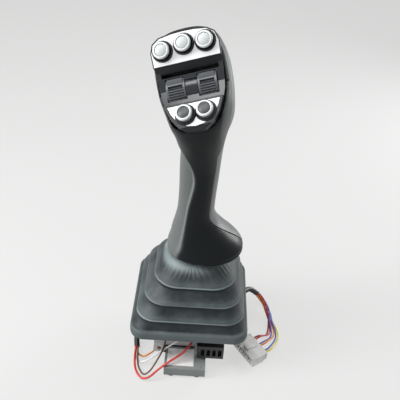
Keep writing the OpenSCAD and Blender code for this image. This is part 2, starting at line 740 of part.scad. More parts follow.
module button_switches() {
    color("#3a3d40") {
        at_top_plate() for (p = TOP_SPOTS) translate([p[0], p[1], 0]) switch_body();
        at_lower_plate() for (p = LOWER_SPOTS) translate([p[0], p[1], 0]) switch_body();
    }
}

module switch_board() {
    color("#1f5a3a") at_top_plate() difference() {
        translate([-22, 24, -switch_low - 1.6]) cube([44, 11, 1.6]);
        for (p = TOP_SPOTS) translate([p[0], p[1], -16]) cylinder(d = guide_d + 2, h = 9);
    }
    color("#1f5a3a") at_lower_plate() difference() {
        translate([-12.5, -27, -switch_low - 1.6]) cube([25, 8.5, 1.6]);
        for (p = LOWER_SPOTS) translate([p[0], p[1], -16]) cylinder(d = guide_d + 2, h = 9);
    }
}

// ---- control module and blocks -------------------------------------------------------------

mod_w = 40;
mod_d = 27;
mod_h = 10;
mod_at = [-22, -61, 2.4];
// Width beside the label that the bracket's foot stands on.
label_clear = 11;
module module_case() {
    color("#b9bcbd") difference() {
        translate(mod_at) cube([mod_w, mod_d, mod_h - 1.4]);
        translate(mod_at + [1.6, 1.6, 1.6]) cube([mod_w - 3.2, mod_d - 3.2, mod_h]);
    }
}

module module_lid() {
    color("#c4c7c8") difference() {
        union() {
            translate(mod_at + [0, 0, mod_h - 1.4]) cube([mod_w, mod_d, 1.4]);
            translate(mod_at + [1.8, 1.8, mod_h - 3]) cube([mod_w - 3.6, mod_d - 3.6, 1.7]);
        }
        translate(mod_at + [3, 3, mod_h - 4]) cube([mod_w - 6, mod_d - 6, 2.6]);
        for (x = [3.6, mod_w - 3.6]) translate(mod_at + [x, 2.4, mod_h - 0.5]) cylinder(d = 2.4, h = 1);
    }
}

module module_label() {
    color("#f0f0ee") translate(mod_at + [2.5, 3.5, mod_h])
        cube([mod_w - label_clear - 3, mod_d - 6, 0.2]);
}

module module_feet() {
    color("#232527") for (x = [7, mod_w - 8]) translate([mod_at[0] + x, mod_at[1] + 4.5, 0]) {
        cylinder(d = 7, h = 2.4);
    }
}

module module_bracket() {
    y = -housing_y / 2 - 1.5;
    color("#c9cbcc") difference() {
        union() {
            translate([-34, y, 14]) cube([58, 1.5, 16]);
            translate([-34, y - 9, 14]) cube([11, 9.2, 1.5]);
            translate([mod_at[0] + mod_w - label_clear, y - 9, mod_at[2] + mod_h]) cube([10, 9.2, 1.6]);
            translate([mod_at[0] + mod_w - label_clear, y, mod_at[2] + mod_h]) cube([10, 1.5, 8]);
        }
        translate([-28.5, y - 5, 10]) cylinder(d = 5, h = 8);
        translate([-14, y - 1, 20]) cube([9, 4, 3.4]);
        for (x = [-20, 4]) translate([x, y - 5, 25]) along_y() cylinder(d = 3.4, h = 10);
    }
}

module bracket_screws() {
    color("#8d9195") for (x = [-20, 4]) translate([x, -housing_y / 2 - 1.5, 25]) rotate([90, 0, 0])
        screw(3.2, 1.4, 5.4, 1.8);
}

module relay_block() {
    color("#17181a") difference() {
        translate([9, -housing_y / 2 - 17.3, 16]) cube([26, 15.8, 16]);
        for (x = [13, 18.5, 24, 29.5]) translate([x, -housing_y / 2 - 19, 19]) cube([3.4, 6, 9]);
    }
}

gland_at = [housing_x / 2, 16, 24];
module harness_gland() {
    color("#1b1c1e") translate(gland_at) along_x() {
        tube(7, sleeve_d / 2 + 0.05, 3);
        tube(5.6, sleeve_d / 2 + 0.05, 6);
    }
}

// ---- wiring --------------------------------------------------------------------------------

conn_at = [64, -25, 0];
conn_turn = -56;
conn_size = [32, 19, 10.4];
conn_pitch = 4.6;
function at_conn(v) = conn_at + [v[0] * cos(conn_turn) - v[1] * sin(conn_turn),
    v[0] * sin(conn_turn) + v[1] * cos(conn_turn), v[2]];

module harness_connector() {
    w = conn_size[0];
    d = conn_size[1];
    h = conn_size[2];
    color("#e6e6e0") translate(conn_at) rotate([0, 0, conn_turn]) difference() {
        union() {
            translate([-w / 2, -d / 2, 0]) cube([w, d - 5, h]);
            translate([-w / 2 + 1, d / 2 - 5.1, 1]) cube([w - 2, 5.1, h - 2]);
            translate([-3.5, -d / 2 + 5, h - 0.1]) cube([7, d - 9, 1.3]);
            translate([-3.5, -d / 2 + 2.5, h - 0.1]) cube([7, 2.6, 2.4]);
        }
        for (i = [-3 : 3], z = [2, 6]) translate([i * 4.3 - 1.5, -d / 2 - 1, z - 0.6]) cube([3, 10, 3]);
    }
}

sleeve_mouth = [72.5, 45, 16.5];
SLEEVE_PATH = [[housing_x / 2 + 1, 16, 24], [40, 16, 24], [47, 22.6, 26], [56, 36, 25.6],
    [63.6, 44.6, 22.6], sleeve_mouth];
// Where wire i lies in the bundle: turned by a in a bundle that heads h degrees right of -Y.
function in_bundle(i, a, h, r = 2.3) = let (b = 60 * i + a)
    [r * cos(b) * cos(h), r * cos(b) * sin(h), r * sin(b)];
// The connector's way that each wire takes, so that no two cross.
WAYS = [0, 1, 3, 5, 4, 2];
// Wire i leaves the sleeve, follows the bundle round and enters the connector's wire face.
function harness_path(i) = let (w = WAYS[i],
    end = at_conn([(w - 2.5) * conn_pitch, conn_size[1] / 2, w % 2 == 0 ? 3.4 : 6.8]))
    [sleeve_mouth + in_bundle(i, 44, 60, 2), [80.5, 38, 9.6] + in_bundle(i, 64, 53),
    [84.6, 28, 5.6] + in_bundle(i, 110, 18), [87, 16, 3.6] + in_bundle(i, 180, 6),
    [82 + 2.4 * w, -0.6 * w, w % 2 == 0 ? 1.2 : 2.8], end + [7.4, 5, w % 2 == 0 ? 0.4 : 1], end];
module harness_sleeve() { color("#121314") tube_along(SLEEVE_PATH, sleeve_d, 10); }
module harness_wire_1() { color("#8a1512") tube_along(harness_path(0), wire_d); }
module harness_wire_2() { color("#c03024") tube_along(harness_path(1), wire_d); }
module harness_wire_3() { color("#d97a1e") tube_along(harness_path(2), wire_d); }
module harness_wire_4() { color("#d8c02c") tube_along(harness_path(3), wire_d); }
module harness_wire_5() { color("#3a50a0") tube_along(harness_path(4), wire_d); }
module harness_wire_6() { color("#5a4aa8") tube_along(harness_path(5), wire_d); }

left_d = 5.6;
left_end = [-51.5, -29, 3.6];
LEFT_PATH = [[-housing_x / 2, 15, 18], [-39, 15, 18], [-47, 8, 15.4], [-53, -12, 8], left_end];
ORANGE_PATH = [left_end + [0.9, 0.3, -0.9], [-49.6, -36, 2], [-44, -40, 2.4], [-37.6, -38, 5],
    [-32.4, -35.4, 8], [-29.6, -housing_y / 2, 9.5]];
WHITE_PATH = [left_end + [-0.9, 0.3, -0.9], [-51.6, -40, 1.6], [-47, -47, 2.4],
    [-40, -48.5, 6.4], [-32, -46, 12], [-22, -42.4, 18.4], [-11, -38.6, 25], [-3, -36, 29],
    [0.5, -housing_y / 2, 33]];
RED_PATH = [left_end + [-0.9, 0.3, 1], [-52.4, -42, 3.4], [-50, -56, 2.4],
    [-43.5, -66, 2.2], [-36, -67.4, 5], [-27, -62.6, 11.4], [-17, -56.6, 16.6],
    [-6, -50.4, 21], [3, -42, 27.6], [6, -housing_y / 2, 33]];
BROWN_PATH = [left_end + [0.9, 0.3, 1], [-49.4, -42, 4], [-47.4, -53, 2.8],
    [-41.8, -62, 2.6], [-35.4, -61.4, 7], [-29, -53.6, 14], [-24.4, -44.6, 19],
    [-22, -housing_y / 2 - 1.6, 22]];
module left_sleeve() { color("#121314") tube_along(LEFT_PATH, left_d, 10); }
module orange_wire() { color("#d97a1e") tube_along(ORANGE_PATH, wire_d); }
module white_wire() { color("#e4e4e0") tube_along(WHITE_PATH, wire_d); }
module red_wire() { color("#b3211c") tube_along(RED_PATH, wire_d + 0.5); }
module brown_wire() { color("#4a2c1c") tube_along(BROWN_PATH, wire_d); }

bottom_cover();
cover_feet();
cover_screws();
gimbal_housing();
mounting_flange();
flange_screws();
pitch_bushes();
pitch_sensor_board();
pitch_spring();
boot();
module_case();
module_lid();
module_label();
module_feet();
module_bracket();
bracket_screws();
relay_block();
harness_gland();
gimbal_yoke();
roll_bushes();
pitch_magnet();
roll_sensor_board();
roll_spring();
lever_block();
lever_shaft();
roll_magnet();
grip_clamp();
grip_base();
grip_front_shell();
grip_rear_shell();
head_bezel();
top_plate();
lower_plate();
roller_cradle();
roller_axle();
switch_board();
button_switches();
left_roller();
right_roller();
top_left_button();
top_middle_button();
top_right_button();
lower_left_button();
lower_right_button();
harness_sleeve();
harness_wire_1();
harness_wire_2();
harness_wire_3();
harness_wire_4();
harness_wire_5();
harness_wire_6();
harness_connector();
left_sleeve();
orange_wire();
white_wire();
red_wire();
brown_wire();
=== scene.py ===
"""Looks of an industrial joystick: palm grip, face controls, bellows boot, control module and wiring.

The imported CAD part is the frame. Grip shells, boot, button caps and wires are built here; the other
pieces keep their CAD shape and get a finish.
"""

import logging
import math
from bisect import bisect_left
from dataclasses import dataclass, field
from enum import Enum
from typing import Callable, Sequence

import bmesh
import bpy
from mathutils import Matrix, Vector


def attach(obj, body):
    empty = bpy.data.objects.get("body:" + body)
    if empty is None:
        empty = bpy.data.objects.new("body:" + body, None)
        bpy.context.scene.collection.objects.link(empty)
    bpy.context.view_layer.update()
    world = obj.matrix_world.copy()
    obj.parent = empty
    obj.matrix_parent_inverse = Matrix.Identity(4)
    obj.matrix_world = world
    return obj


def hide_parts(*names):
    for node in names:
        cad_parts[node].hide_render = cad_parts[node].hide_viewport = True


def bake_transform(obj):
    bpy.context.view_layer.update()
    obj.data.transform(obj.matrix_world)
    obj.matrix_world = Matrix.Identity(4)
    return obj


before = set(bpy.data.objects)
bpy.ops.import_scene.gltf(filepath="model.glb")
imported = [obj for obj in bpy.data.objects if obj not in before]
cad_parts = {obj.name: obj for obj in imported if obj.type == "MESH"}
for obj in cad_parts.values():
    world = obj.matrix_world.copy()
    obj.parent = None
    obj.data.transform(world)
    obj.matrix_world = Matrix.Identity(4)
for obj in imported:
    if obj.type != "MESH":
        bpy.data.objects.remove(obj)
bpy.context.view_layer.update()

log = logging.getLogger("joystick")
MM = 0.001
# Least half width of a section of the grip, in millimetres.
LEAST = 0.05
Row = tuple[float, ...]
Pair = tuple[float, float]
Triple = tuple[float, float, float]
Bmesh = bmesh.types.BMesh
Material = bpy.types.Material
Node = bpy.types.Node
Object = bpy.types.Object
Tree = bpy.types.NodeTree
Socket = bpy.types.NodeSocket


class Body(str, Enum):
    """The bodies that pieces ride on."""

    BASE = "base"
    YOKE = "yoke"
    GRIP = "grip"


# ---- small maths ----


def bell(value: float, middle: float, spread: float) -> float:
    """A smooth bump of height 1 around middle."""
    return math.exp(-(((value - middle) / spread) ** 2))


def rise(value: float, start: float, length: float) -> float:
    """0 up to start, 1 from start + length on, and a smooth rise between."""
    t = min(1.0, max(0.0, (value - start) / length))
    return t * t * (3 - 2 * t)


def spline_row(rows: Sequence[Row], t: float) -> Row:
    """Reads a table of rows at any place along it.

    Args:
        rows: The table, one tuple of numbers a row.
        t: The place, from 0 at the first row to 1 at the last.

    Returns:
        A row on the smooth curve through the table.
    """
    last = len(rows) - 1
    place = min(max(t, 0.0), 1.0) * last
    i = min(int(place), last - 1)
    f = place - i
    a, b, c, d = (rows[min(max(k, 0), last)] for k in (i - 1, i, i + 1, i + 2))
    return tuple(
        0.5 * (2 * q + (r - p) * f + (2 * p - 5 * q + 4 * r - s) * f * f + (3 * q - p - 3 * r + s) * f**3)
        for p, q, r, s in zip(a, b, c, d)
    )


def crowded_ends(u: float, strength: float) -> float:
    """Moves evenly spaced places in 0 to 1 closer together at both ends."""
    return u - strength * math.sin(2 * math.pi * u) / (2 * math.pi)


def turned(turn: float, tilt: float, cant: float) -> Matrix:
    """Axes of a section or face: across it, up it and out of it, as a matrix's columns."""
    about_z = Matrix.Rotation(math.radians(-turn), 3, "Z")
    about_x = Matrix.Rotation(math.radians(90 - tilt), 3, "X")
    return about_z @ about_x @ Matrix.Rotation(math.radians(cant), 3, "Z")


# ---- shader effects ----


def set_inputs(node: Node, values: dict[str, float | Row]) -> None:
    """Sets some of a node's sockets by their names."""
    for label, value in values.items():
        node.inputs[label].default_value = value


def add(tree: Tree, kind: str, values: dict[str, float | Row] | None = None) -> Node:
    """Adds a shader node of a kind and sets some of its sockets by their names."""
    node = tree.nodes.new(f"ShaderNode{kind}")
    set_inputs(node, values or {})
    return node


def math_node(tree: Tree, operation: str, clamp: bool = False) -> Node:
    """Adds a node for one sum, whose result stays in 0 to 1 where clamp is set."""
    node = add(tree, "Math")
    node.operation = operation
    node.use_clamp = clamp
    return node


def join(tree: Tree, *pairs: tuple[Socket, Socket]) -> None:
    """Links each pair of an output and an input."""
    for source, target in pairs:
        tree.links.new(source, target)


def new_group(name: str, inputs: dict[str, float], output: str) -> tuple[Tree, Node, Node]:
    """Starts a shader node group.

    Args:
        name: The group's name.
        inputs: Names of its number inputs with their defaults.
        output: Name of the number that it puts out.

    Returns:
        The group, which has a vector input named Place as well, with its first and last node.
    """
    group = bpy.data.node_groups.new(name, "ShaderNodeTree")
    socket = group.interface.new_socket
    socket("Place", in_out="INPUT", socket_type="NodeSocketVector")
    for label, default in inputs.items():
        socket(label, in_out="INPUT", socket_type="NodeSocketFloat").default_value = default
    socket(output, in_out="OUTPUT", socket_type="NodeSocketFloat")
    return group, group.nodes.new("NodeGroupInput"), group.nodes.new("NodeGroupOutput")


def grain_group() -> Tree:
    """Fine leather-like grain of moulded plastic: puts out a height."""
    group, start, end = new_group("moulded_grain", {"Scale": 900.0}, "Height")
    coarse = add(group, "TexNoise", {"Detail": 3.0})
    fine = add(group, "TexVoronoi")
    total = math_node(group, "ADD")
    for texture, output, term in ((coarse, "Fac", 0), (fine, "Distance", 1)):
        join(
            group,
            (start.outputs["Place"], texture.inputs["Vector"]),
            (start.outputs["Scale"], texture.inputs["Scale"]),
            (texture.outputs[output], total.inputs[term]),
        )
    join(group, (total.outputs[0], end.inputs["Height"]))
    return group


def dust_group() -> Tree:
    """Dust that settles in patches on what faces up: puts out a mask."""
    group, start, end = new_group("settled_dust", {"Scale": 60.0, "Amount": 0.5}, "Mask")
    noise = add(group, "TexNoise", {"Detail": 6.0, "Roughness": 0.65})
    geometry = add(group, "NewGeometry")
    split = add(group, "SeparateXYZ")
    facing = add(group, "MapRange", {"From Min": -0.3, "From Max": 1.0})
    patches = add(group, "MapRange", {"From Min": 0.36, "From Max": 0.72})
    both = math_node(group, "MULTIPLY")
    scaled = math_node(group, "MULTIPLY", clamp=True)
    join(
        group,
        (start.outputs["Place"], noise.inputs["Vector"]),
        (start.outputs["Scale"], noise.inputs["Scale"]),
        (geometry.outputs["Normal"], split.inputs[0]),
        (split.outputs["Z"], facing.inputs["Value"]),
        (noise.outputs["Fac"], patches.inputs["Value"]),
        (facing.outputs[0], both.inputs[0]),
        (patches.outputs[0], both.inputs[1]),
        (both.outputs[0], scaled.inputs[0]),
        (start.outputs["Amount"], scaled.inputs[1]),
        (scaled.outputs[0], end.inputs["Mask"]),
    )
    return group


def brushed_group() -> Tree:
    """Fine straight brush lines across a metal plate: puts out a value."""
    group, start, end = new_group("brush_lines", {"Scale": 40.0}, "Value")
    stretch = add(group, "Mapping", {"Scale": (2.0, 60.0, 60.0)})
    noise = add(group, "TexNoise", {"Detail": 4.0})
    join(
        group,
        (start.outputs["Place"], stretch.inputs["Vector"]),
        (stretch.outputs[0], noise.inputs["Vector"]),
        (start.outputs["Scale"], noise.inputs["Scale"]),
        (noise.outputs["Fac"], end.inputs["Value"]),
    )
    return group


GROUPS: dict[str, Tree] = {"grain": grain_group(), "dust": dust_group(), "brushed": brushed_group()}
MATERIALS: dict[str, Material] = {}
# Name of the attribute that says how pale a surface is painted: painted light and painted highlights on the
# grip, and on the boot painted highlights along its folds' crests with pale bands at its neck and rim.
PAINTED_LIGHT_ATTRIBUTE = "painted_light"
# What a surface gains in roughness under a full mask of dust and painted light.
DULLED = 0.3
COAT_ROUGHNESS = 0.12
# Places of the colour sockets of a mix node.
COLOUR_A, COLOUR_B, COLOUR_OUT = 6, 7, 2


@dataclass(frozen=True)
class Finish:
    """One surface finish and what it is made of.

    Sizes are in metres. grain is the height of a moulded grain, dust the share of settled dust,
    brushed the depth of brush lines, soften the radius that rounds the edges of a CAD piece, and
    painted_light how pale the places with the painted light attribute get: painted light and painted
    highlights.
    """

    name: str
    colour: Triple
    roughness: float = 0.5
    metallic: float = 0.0
    coat: float = 0.0
    transmission: float = 0.0
    specular: float = 0.5
    grain: float = 0.0
    grain_scale: float = 900.0
    dust: float = 0.0
    dust_scale: float = 60.0
    dust_and_painted_light_colour: Triple = (0.42, 0.43, 0.43)
    brushed: float = 0.0
    soften: float = 0.00035
    painted_light: float = 0.0

    def material(self) -> Material:
        """The material of this finish, made once."""
        if self.name not in MATERIALS:
            MATERIALS[self.name] = self._made()
        return MATERIALS[self.name]

    def _made(self) -> Material:
        """Makes the material: a shader, with a pale mask and a relief where the finish has them."""
        material = bpy.data.materials.new(f"{self.name}_finish")
        material.use_nodes = True
        tree = material.node_tree
        shader = tree.nodes["Principled BSDF"]
        set_inputs(shader, {
            "Base Color": (*self.colour, 1.0), "Roughness": self.roughness, "Metallic": self.metallic,
            "Coat Weight": self.coat, "Coat Roughness": COAT_ROUGHNESS,
            "Transmission Weight": self.transmission, "Specular IOR Level": self.specular,
        })
        place = add(tree, "TexCoord").outputs["Object"]
        mask = self._pale_mask(tree, place)
        if mask is not None:
            self._mixed_colour(tree, shader, mask)
        self._relief(tree, shader, place)
        return material

    def _effect(self, tree: Tree, kind: str, place: Socket) -> Node:
        """One of the shared effects, placed in this material."""
        node = add(tree, "Group")
        node.node_tree = GROUPS[kind]
        join(tree, (place, node.inputs["Place"]))
        return node

    def _pale_mask(self, tree: Tree, place: Socket) -> Socket | None:
        """Where dust or painted light makes the surface pale."""
        mask = None
        if self.dust:
            dust = self._effect(tree, "dust", place)
            set_inputs(dust, {"Scale": self.dust_scale, "Amount": self.dust})
            mask = dust.outputs["Mask"]
        # Painted light and painted highlights from the attribute, added to the dust.
        if self.painted_light:
            edge = add(tree, "Attribute")
            edge.attribute_name = PAINTED_LIGHT_ATTRIBUTE
            painted_light_and_dust = math_node(tree, "MULTIPLY_ADD", clamp=True)
            painted_light_and_dust.inputs[1].default_value = self.painted_light
            painted_light_and_dust.inputs[2].default_value = 0.0
            join(tree, (edge.outputs["Fac"], painted_light_and_dust.inputs[0]))
            if mask is not None:
                join(tree, (mask, painted_light_and_dust.inputs[2]))
            mask = painted_light_and_dust.outputs[0]
        return mask

    def _mixed_colour(self, tree: Tree, shader: Node, mask: Socket) -> None:
        """Lets the mask bring the pale colour of dust and of painted light, and a duller surface."""
        mix = add(tree, "Mix")
        mix.data_type = "RGBA"
        mix.inputs[COLOUR_A].default_value = (*self.colour, 1.0)
        mix.inputs[COLOUR_B].default_value = (*self.dust_and_painted_light_colour, 1.0)
        dull = add(tree, "MapRange", {"To Min": self.roughness, "To Max": min(1.0, self.roughness + DULLED)})
        join(
            tree,
            (mask, mix.inputs[0]),
            (mix.outputs[COLOUR_OUT], shader.inputs["Base Color"]),
            (mask, dull.inputs["Value"]),
            (dull.outputs[0], shader.inputs["Roughness"]),
        )

    def _relief(self, tree: Tree, shader: Node, place: Socket) -> None:
        """Rounded edges, grain and brush lines, all through the normal."""
        normal = None
        if self.soften:
            normal = add(tree, "Bevel", {"Radius": self.soften}).outputs["Normal"]
        for kind, depth, output in (("grain", self.grain, "Height"), ("brushed", self.brushed, "Value")):
            if not depth:
                continue
            effect = self._effect(tree, kind, place)
            if kind == "grain":
                set_inputs(effect, {"Scale": self.grain_scale})
            bump = add(tree, "Bump", {"Distance": depth})
            join(tree, (effect.outputs[output], bump.inputs["Height"]))
            if normal is not None:
                join(tree, (normal, bump.inputs["Normal"]))
            normal = bump.outputs["Normal"]
        if normal is not None:
            join(tree, (normal, shader.inputs["Normal"]))


# Paler where the painted light attribute says: painted light over the thumb's hollow, a painted highlight
# along its crease and painted light on the head's side, in the pale colour.
SOFT_BLACK = Finish(
    "soft_touch_black", (0.003, 0.005, 0.006), 0.32, specular=0.2, painted_light=0.72,
    dust_and_painted_light_colour=(0.24, 0.26, 0.255), grain=0.00002, grain_scale=2600, soften=0.0,
)
REAR_GREY = Finish(
    "rear_shell_grey", (0.125, 0.13, 0.133), 0.42, grain=0.00004, grain_scale=1800, soften=0.0)
BEZEL_BLACK = Finish("bezel_black", (0.005, 0.006, 0.008), 0.3, specular=0.4, grain=0.00003, grain_scale=2200)
PLATE_SILVER = Finish("satin_silver", (0.74, 0.75, 0.76), 0.4, metallic=0.2, brushed=0.00002)
CRADLE_GLOSS = Finish("gloss_black", (0.005, 0.006, 0.01), 0.16, coat=0.3)
ROLLER_BLACK = Finish("ribbed_black", (0.085, 0.092, 0.1), 0.26, soften=0.0002)
CAP_BLACK = Finish("cap_black", (0.012, 0.013, 0.014), 0.3, soften=0.0)
CAP_GREY = Finish("cap_grey", (0.12, 0.125, 0.125), 0.32, soften=0.0)
DISC_LIGHT = Finish("disc_light_grey", (0.5, 0.53, 0.52), 0.45, grain=0.00003, grain_scale=2000, soften=0.0)
DISC_DARK = Finish("disc_dark_grey", (0.05, 0.055, 0.056), 0.45, grain=0.00003, grain_scale=2000, soften=0.0)
# The pale rim over a cap's rounded edge is a painted highlight.
RIM_HIGHLIGHT = Finish("cap_rim_highlight", (0.68, 0.7, 0.7), 0.3, soften=0.0)
SEAL_RUBBER = Finish("seal_rubber", (0.004, 0.004, 0.005), 0.5, soften=0.0)
# Dust settles on what faces up; painted highlights run along the folds' crests, with pale bands at the neck
# and the rim, all in the pale colour.
BOOT_RUBBER = Finish(
    "boot_rubber", (0.005, 0.01, 0.013), 0.5, specular=0.35, dust=0.24, dust_scale=45, painted_light=0.95,
    dust_and_painted_light_colour=(0.27, 0.32, 0.32), grain=0.00004, grain_scale=500, soften=0.0,
)
HOUSING_BLACK = Finish("housing_black", (0.02, 0.021, 0.023), 0.45, grain=0.00003)
MODULE_GREY = Finish("module_grey", (0.2, 0.215, 0.21), 0.5, grain=0.00003)
LID_GREY = Finish("module_lid_grey", (0.24, 0.255, 0.25), 0.42)
LABEL_WHITE = Finish("label_white", (0.86, 0.86, 0.84), 0.4, soften=0.0)
BRACKET_GREY = Finish("bracket_grey", (0.55, 0.56, 0.55), 0.4, metallic=0.3)
CONNECTOR_BLACK = Finish("connector_black", (0.015, 0.015, 0.017), 0.4)
ZINC = Finish("zinc_plated", (0.5, 0.51, 0.52), 0.32, metallic=1.0)
FLANGE_STEEL = Finish("flange_steel", (0.36, 0.37, 0.38), 0.4, metallic=1.0, brushed=0.00002)
BRONZE = Finish("sintered_bronze", (0.52, 0.33, 0.14), 0.4, metallic=1.0)
BOARD_GREEN = Finish("board_green", (0.02, 0.11, 0.05), 0.35, coat=0.3)
STEEL = Finish("turned_steel", (0.58, 0.59, 0.6), 0.25, metallic=1.0)
CAST = Finish("cast_alloy", (0.46, 0.47, 0.48), 0.5, metallic=1.0, grain=0.00005, grain_scale=700)
NYLON = Finish("natural_nylon", (0.88, 0.88, 0.85), 0.32, transmission=0.35, coat=0.2)
SLEEVE = Finish("sleeve_black", (0.012, 0.012, 0.014), 0.32, soften=0.0)


WIRE_COLOURS: dict[str, Triple] = {
    "dark_red": (0.2, 0.02, 0.02), "red": (0.55, 0.04, 0.03), "orange": (0.75, 0.25, 0.03),
    "yellow": (0.75, 0.6, 0.05), "blue": (0.04, 0.1, 0.4), "violet": (0.16, 0.1, 0.42),
    "white": (0.8, 0.8, 0.78), "brown": (0.1, 0.045, 0.02),
}


def wire_finish(name: str, shade: str) -> Finish:
    """The glossy PVC insulation of one wire, in one of the wire colours."""
    return Finish(f"pvc_{name}", WIRE_COLOURS[shade], 0.3, soften=0.0)


# ---- making pieces ----

LATHE_STEPS = 64


def added(name: str, data: bpy.types.ID) -> Object:
    """Puts a new object with its data into the scene."""
    item = bpy.data.objects.new(name, data)
    bpy.context.scene.collection.objects.link(item)
    return item


def mesh_of(name: str, bm: Bmesh, material: Material) -> bpy.types.Mesh:
    """Writes a bmesh into a new mesh of one material and frees the bmesh."""
    mesh = bpy.data.meshes.new(name)
    bm.to_mesh(mesh)
    bm.free()
    mesh.materials.append(material)
    return mesh


def finished(name: str, bm: Bmesh, finish: Finish, slot: str) -> Object:
    """Turns a bmesh into a named, smooth piece with its finish.

    Args:
        name: The piece's name.
        bm: Its shape in the part's frame, in metres. It is freed.
        finish: The finish it wears.
        slot: The record's material slot of that finish; not used.

    Returns:
        The new object, at the origin.
    """
    mesh = mesh_of(name, bm, finish.material())
    for polygon in mesh.polygons:
        polygon.use_smooth = True
    piece = added(name, mesh)
    log.info("%s: %d vertices", name, len(mesh.vertices))
    return piece


def sheet_on(
    place: Callable[[float, float], Vector], painted_light: Callable[[float, float], float], columns: int, rows: int
) -> Bmesh:
    """Lays a grid over a surface.

    Args:
        place: Gives the surface's point for u and v, each from 0 to 1.
        painted_light: Gives how pale the surface is painted there, which becomes the painted light attribute.
        columns: Faces along u.
        rows: Faces along v.

    Returns:
        The draped grid.
    """
    bm = bmesh.new()
    bmesh.ops.create_grid(bm, x_segments=columns, y_segments=rows, size=1.0)
    layer = bm.verts.layers.float.new(PAINTED_LIGHT_ATTRIBUTE)
    for vert in bm.verts:
        u, v = (vert.co.x + 1) / 2, (vert.co.y + 1) / 2
        vert[layer] = painted_light(u, v)
        vert.co = place(u, v)
    return bm


def lathe(profile: Sequence[Pair]) -> Bmesh:
    """Spins a profile about the Z axis.

    Args:
        profile: Points of radius and height, in metres, from one end of the outline to the other.

    Returns:
        The closed turned shape.
    """
    bm = bmesh.new()
    verts = [bm.verts.new((radius, 0.0, height)) for radius, height in profile]
    edges = [bm.edges.new(pair) for pair in zip(verts, verts[1:])]
    bmesh.ops.spin(
        bm, geom=verts + edges, cent=(0, 0, 0), axis=(0, 0, 1), angle=2 * math.pi, steps=LATHE_STEPS,
        use_merge=True,
    )
    bmesh.ops.remove_doubles(bm, verts=bm.verts, dist=1e-7)
    bmesh.ops.recalc_face_normals(bm, faces=bm.faces)
    return bm


def face_outwards(bm: Bmesh, low: float = 0.0, high: float = math.inf) -> None:
    """Makes a skin's faces agree and look away from the Z axis.

    Args:
        bm: The skin.
        low: The height in metres above which its faces are judged.
        high: The height below which they are judged.
    """
    bmesh.ops.recalc_face_normals(bm, faces=bm.faces)
    score = 0.0
    for polygon in bm.faces:
        middle = polygon.calc_center_median()
        if low < middle.z < high:
            score += middle.xy.dot(polygon.normal.xy)
    if score < 0:
        bmesh.ops.reverse_faces(bm, faces=bm.faces)


def walled(piece: Object, thickness: float) -> None:
    """Gives an open skin a wall on its inner side."""
    solidify = piece.modifiers.new("wall", "SOLIDIFY")
    solidify.thickness = thickness
    solidify.offset = -1.0


# ---- grip ----


class Half(Enum):
    """The two halves of the grip, on either side of the parting line."""

    FRONT = "grip_front_skin"
    REAR = "grip_rear_skin"


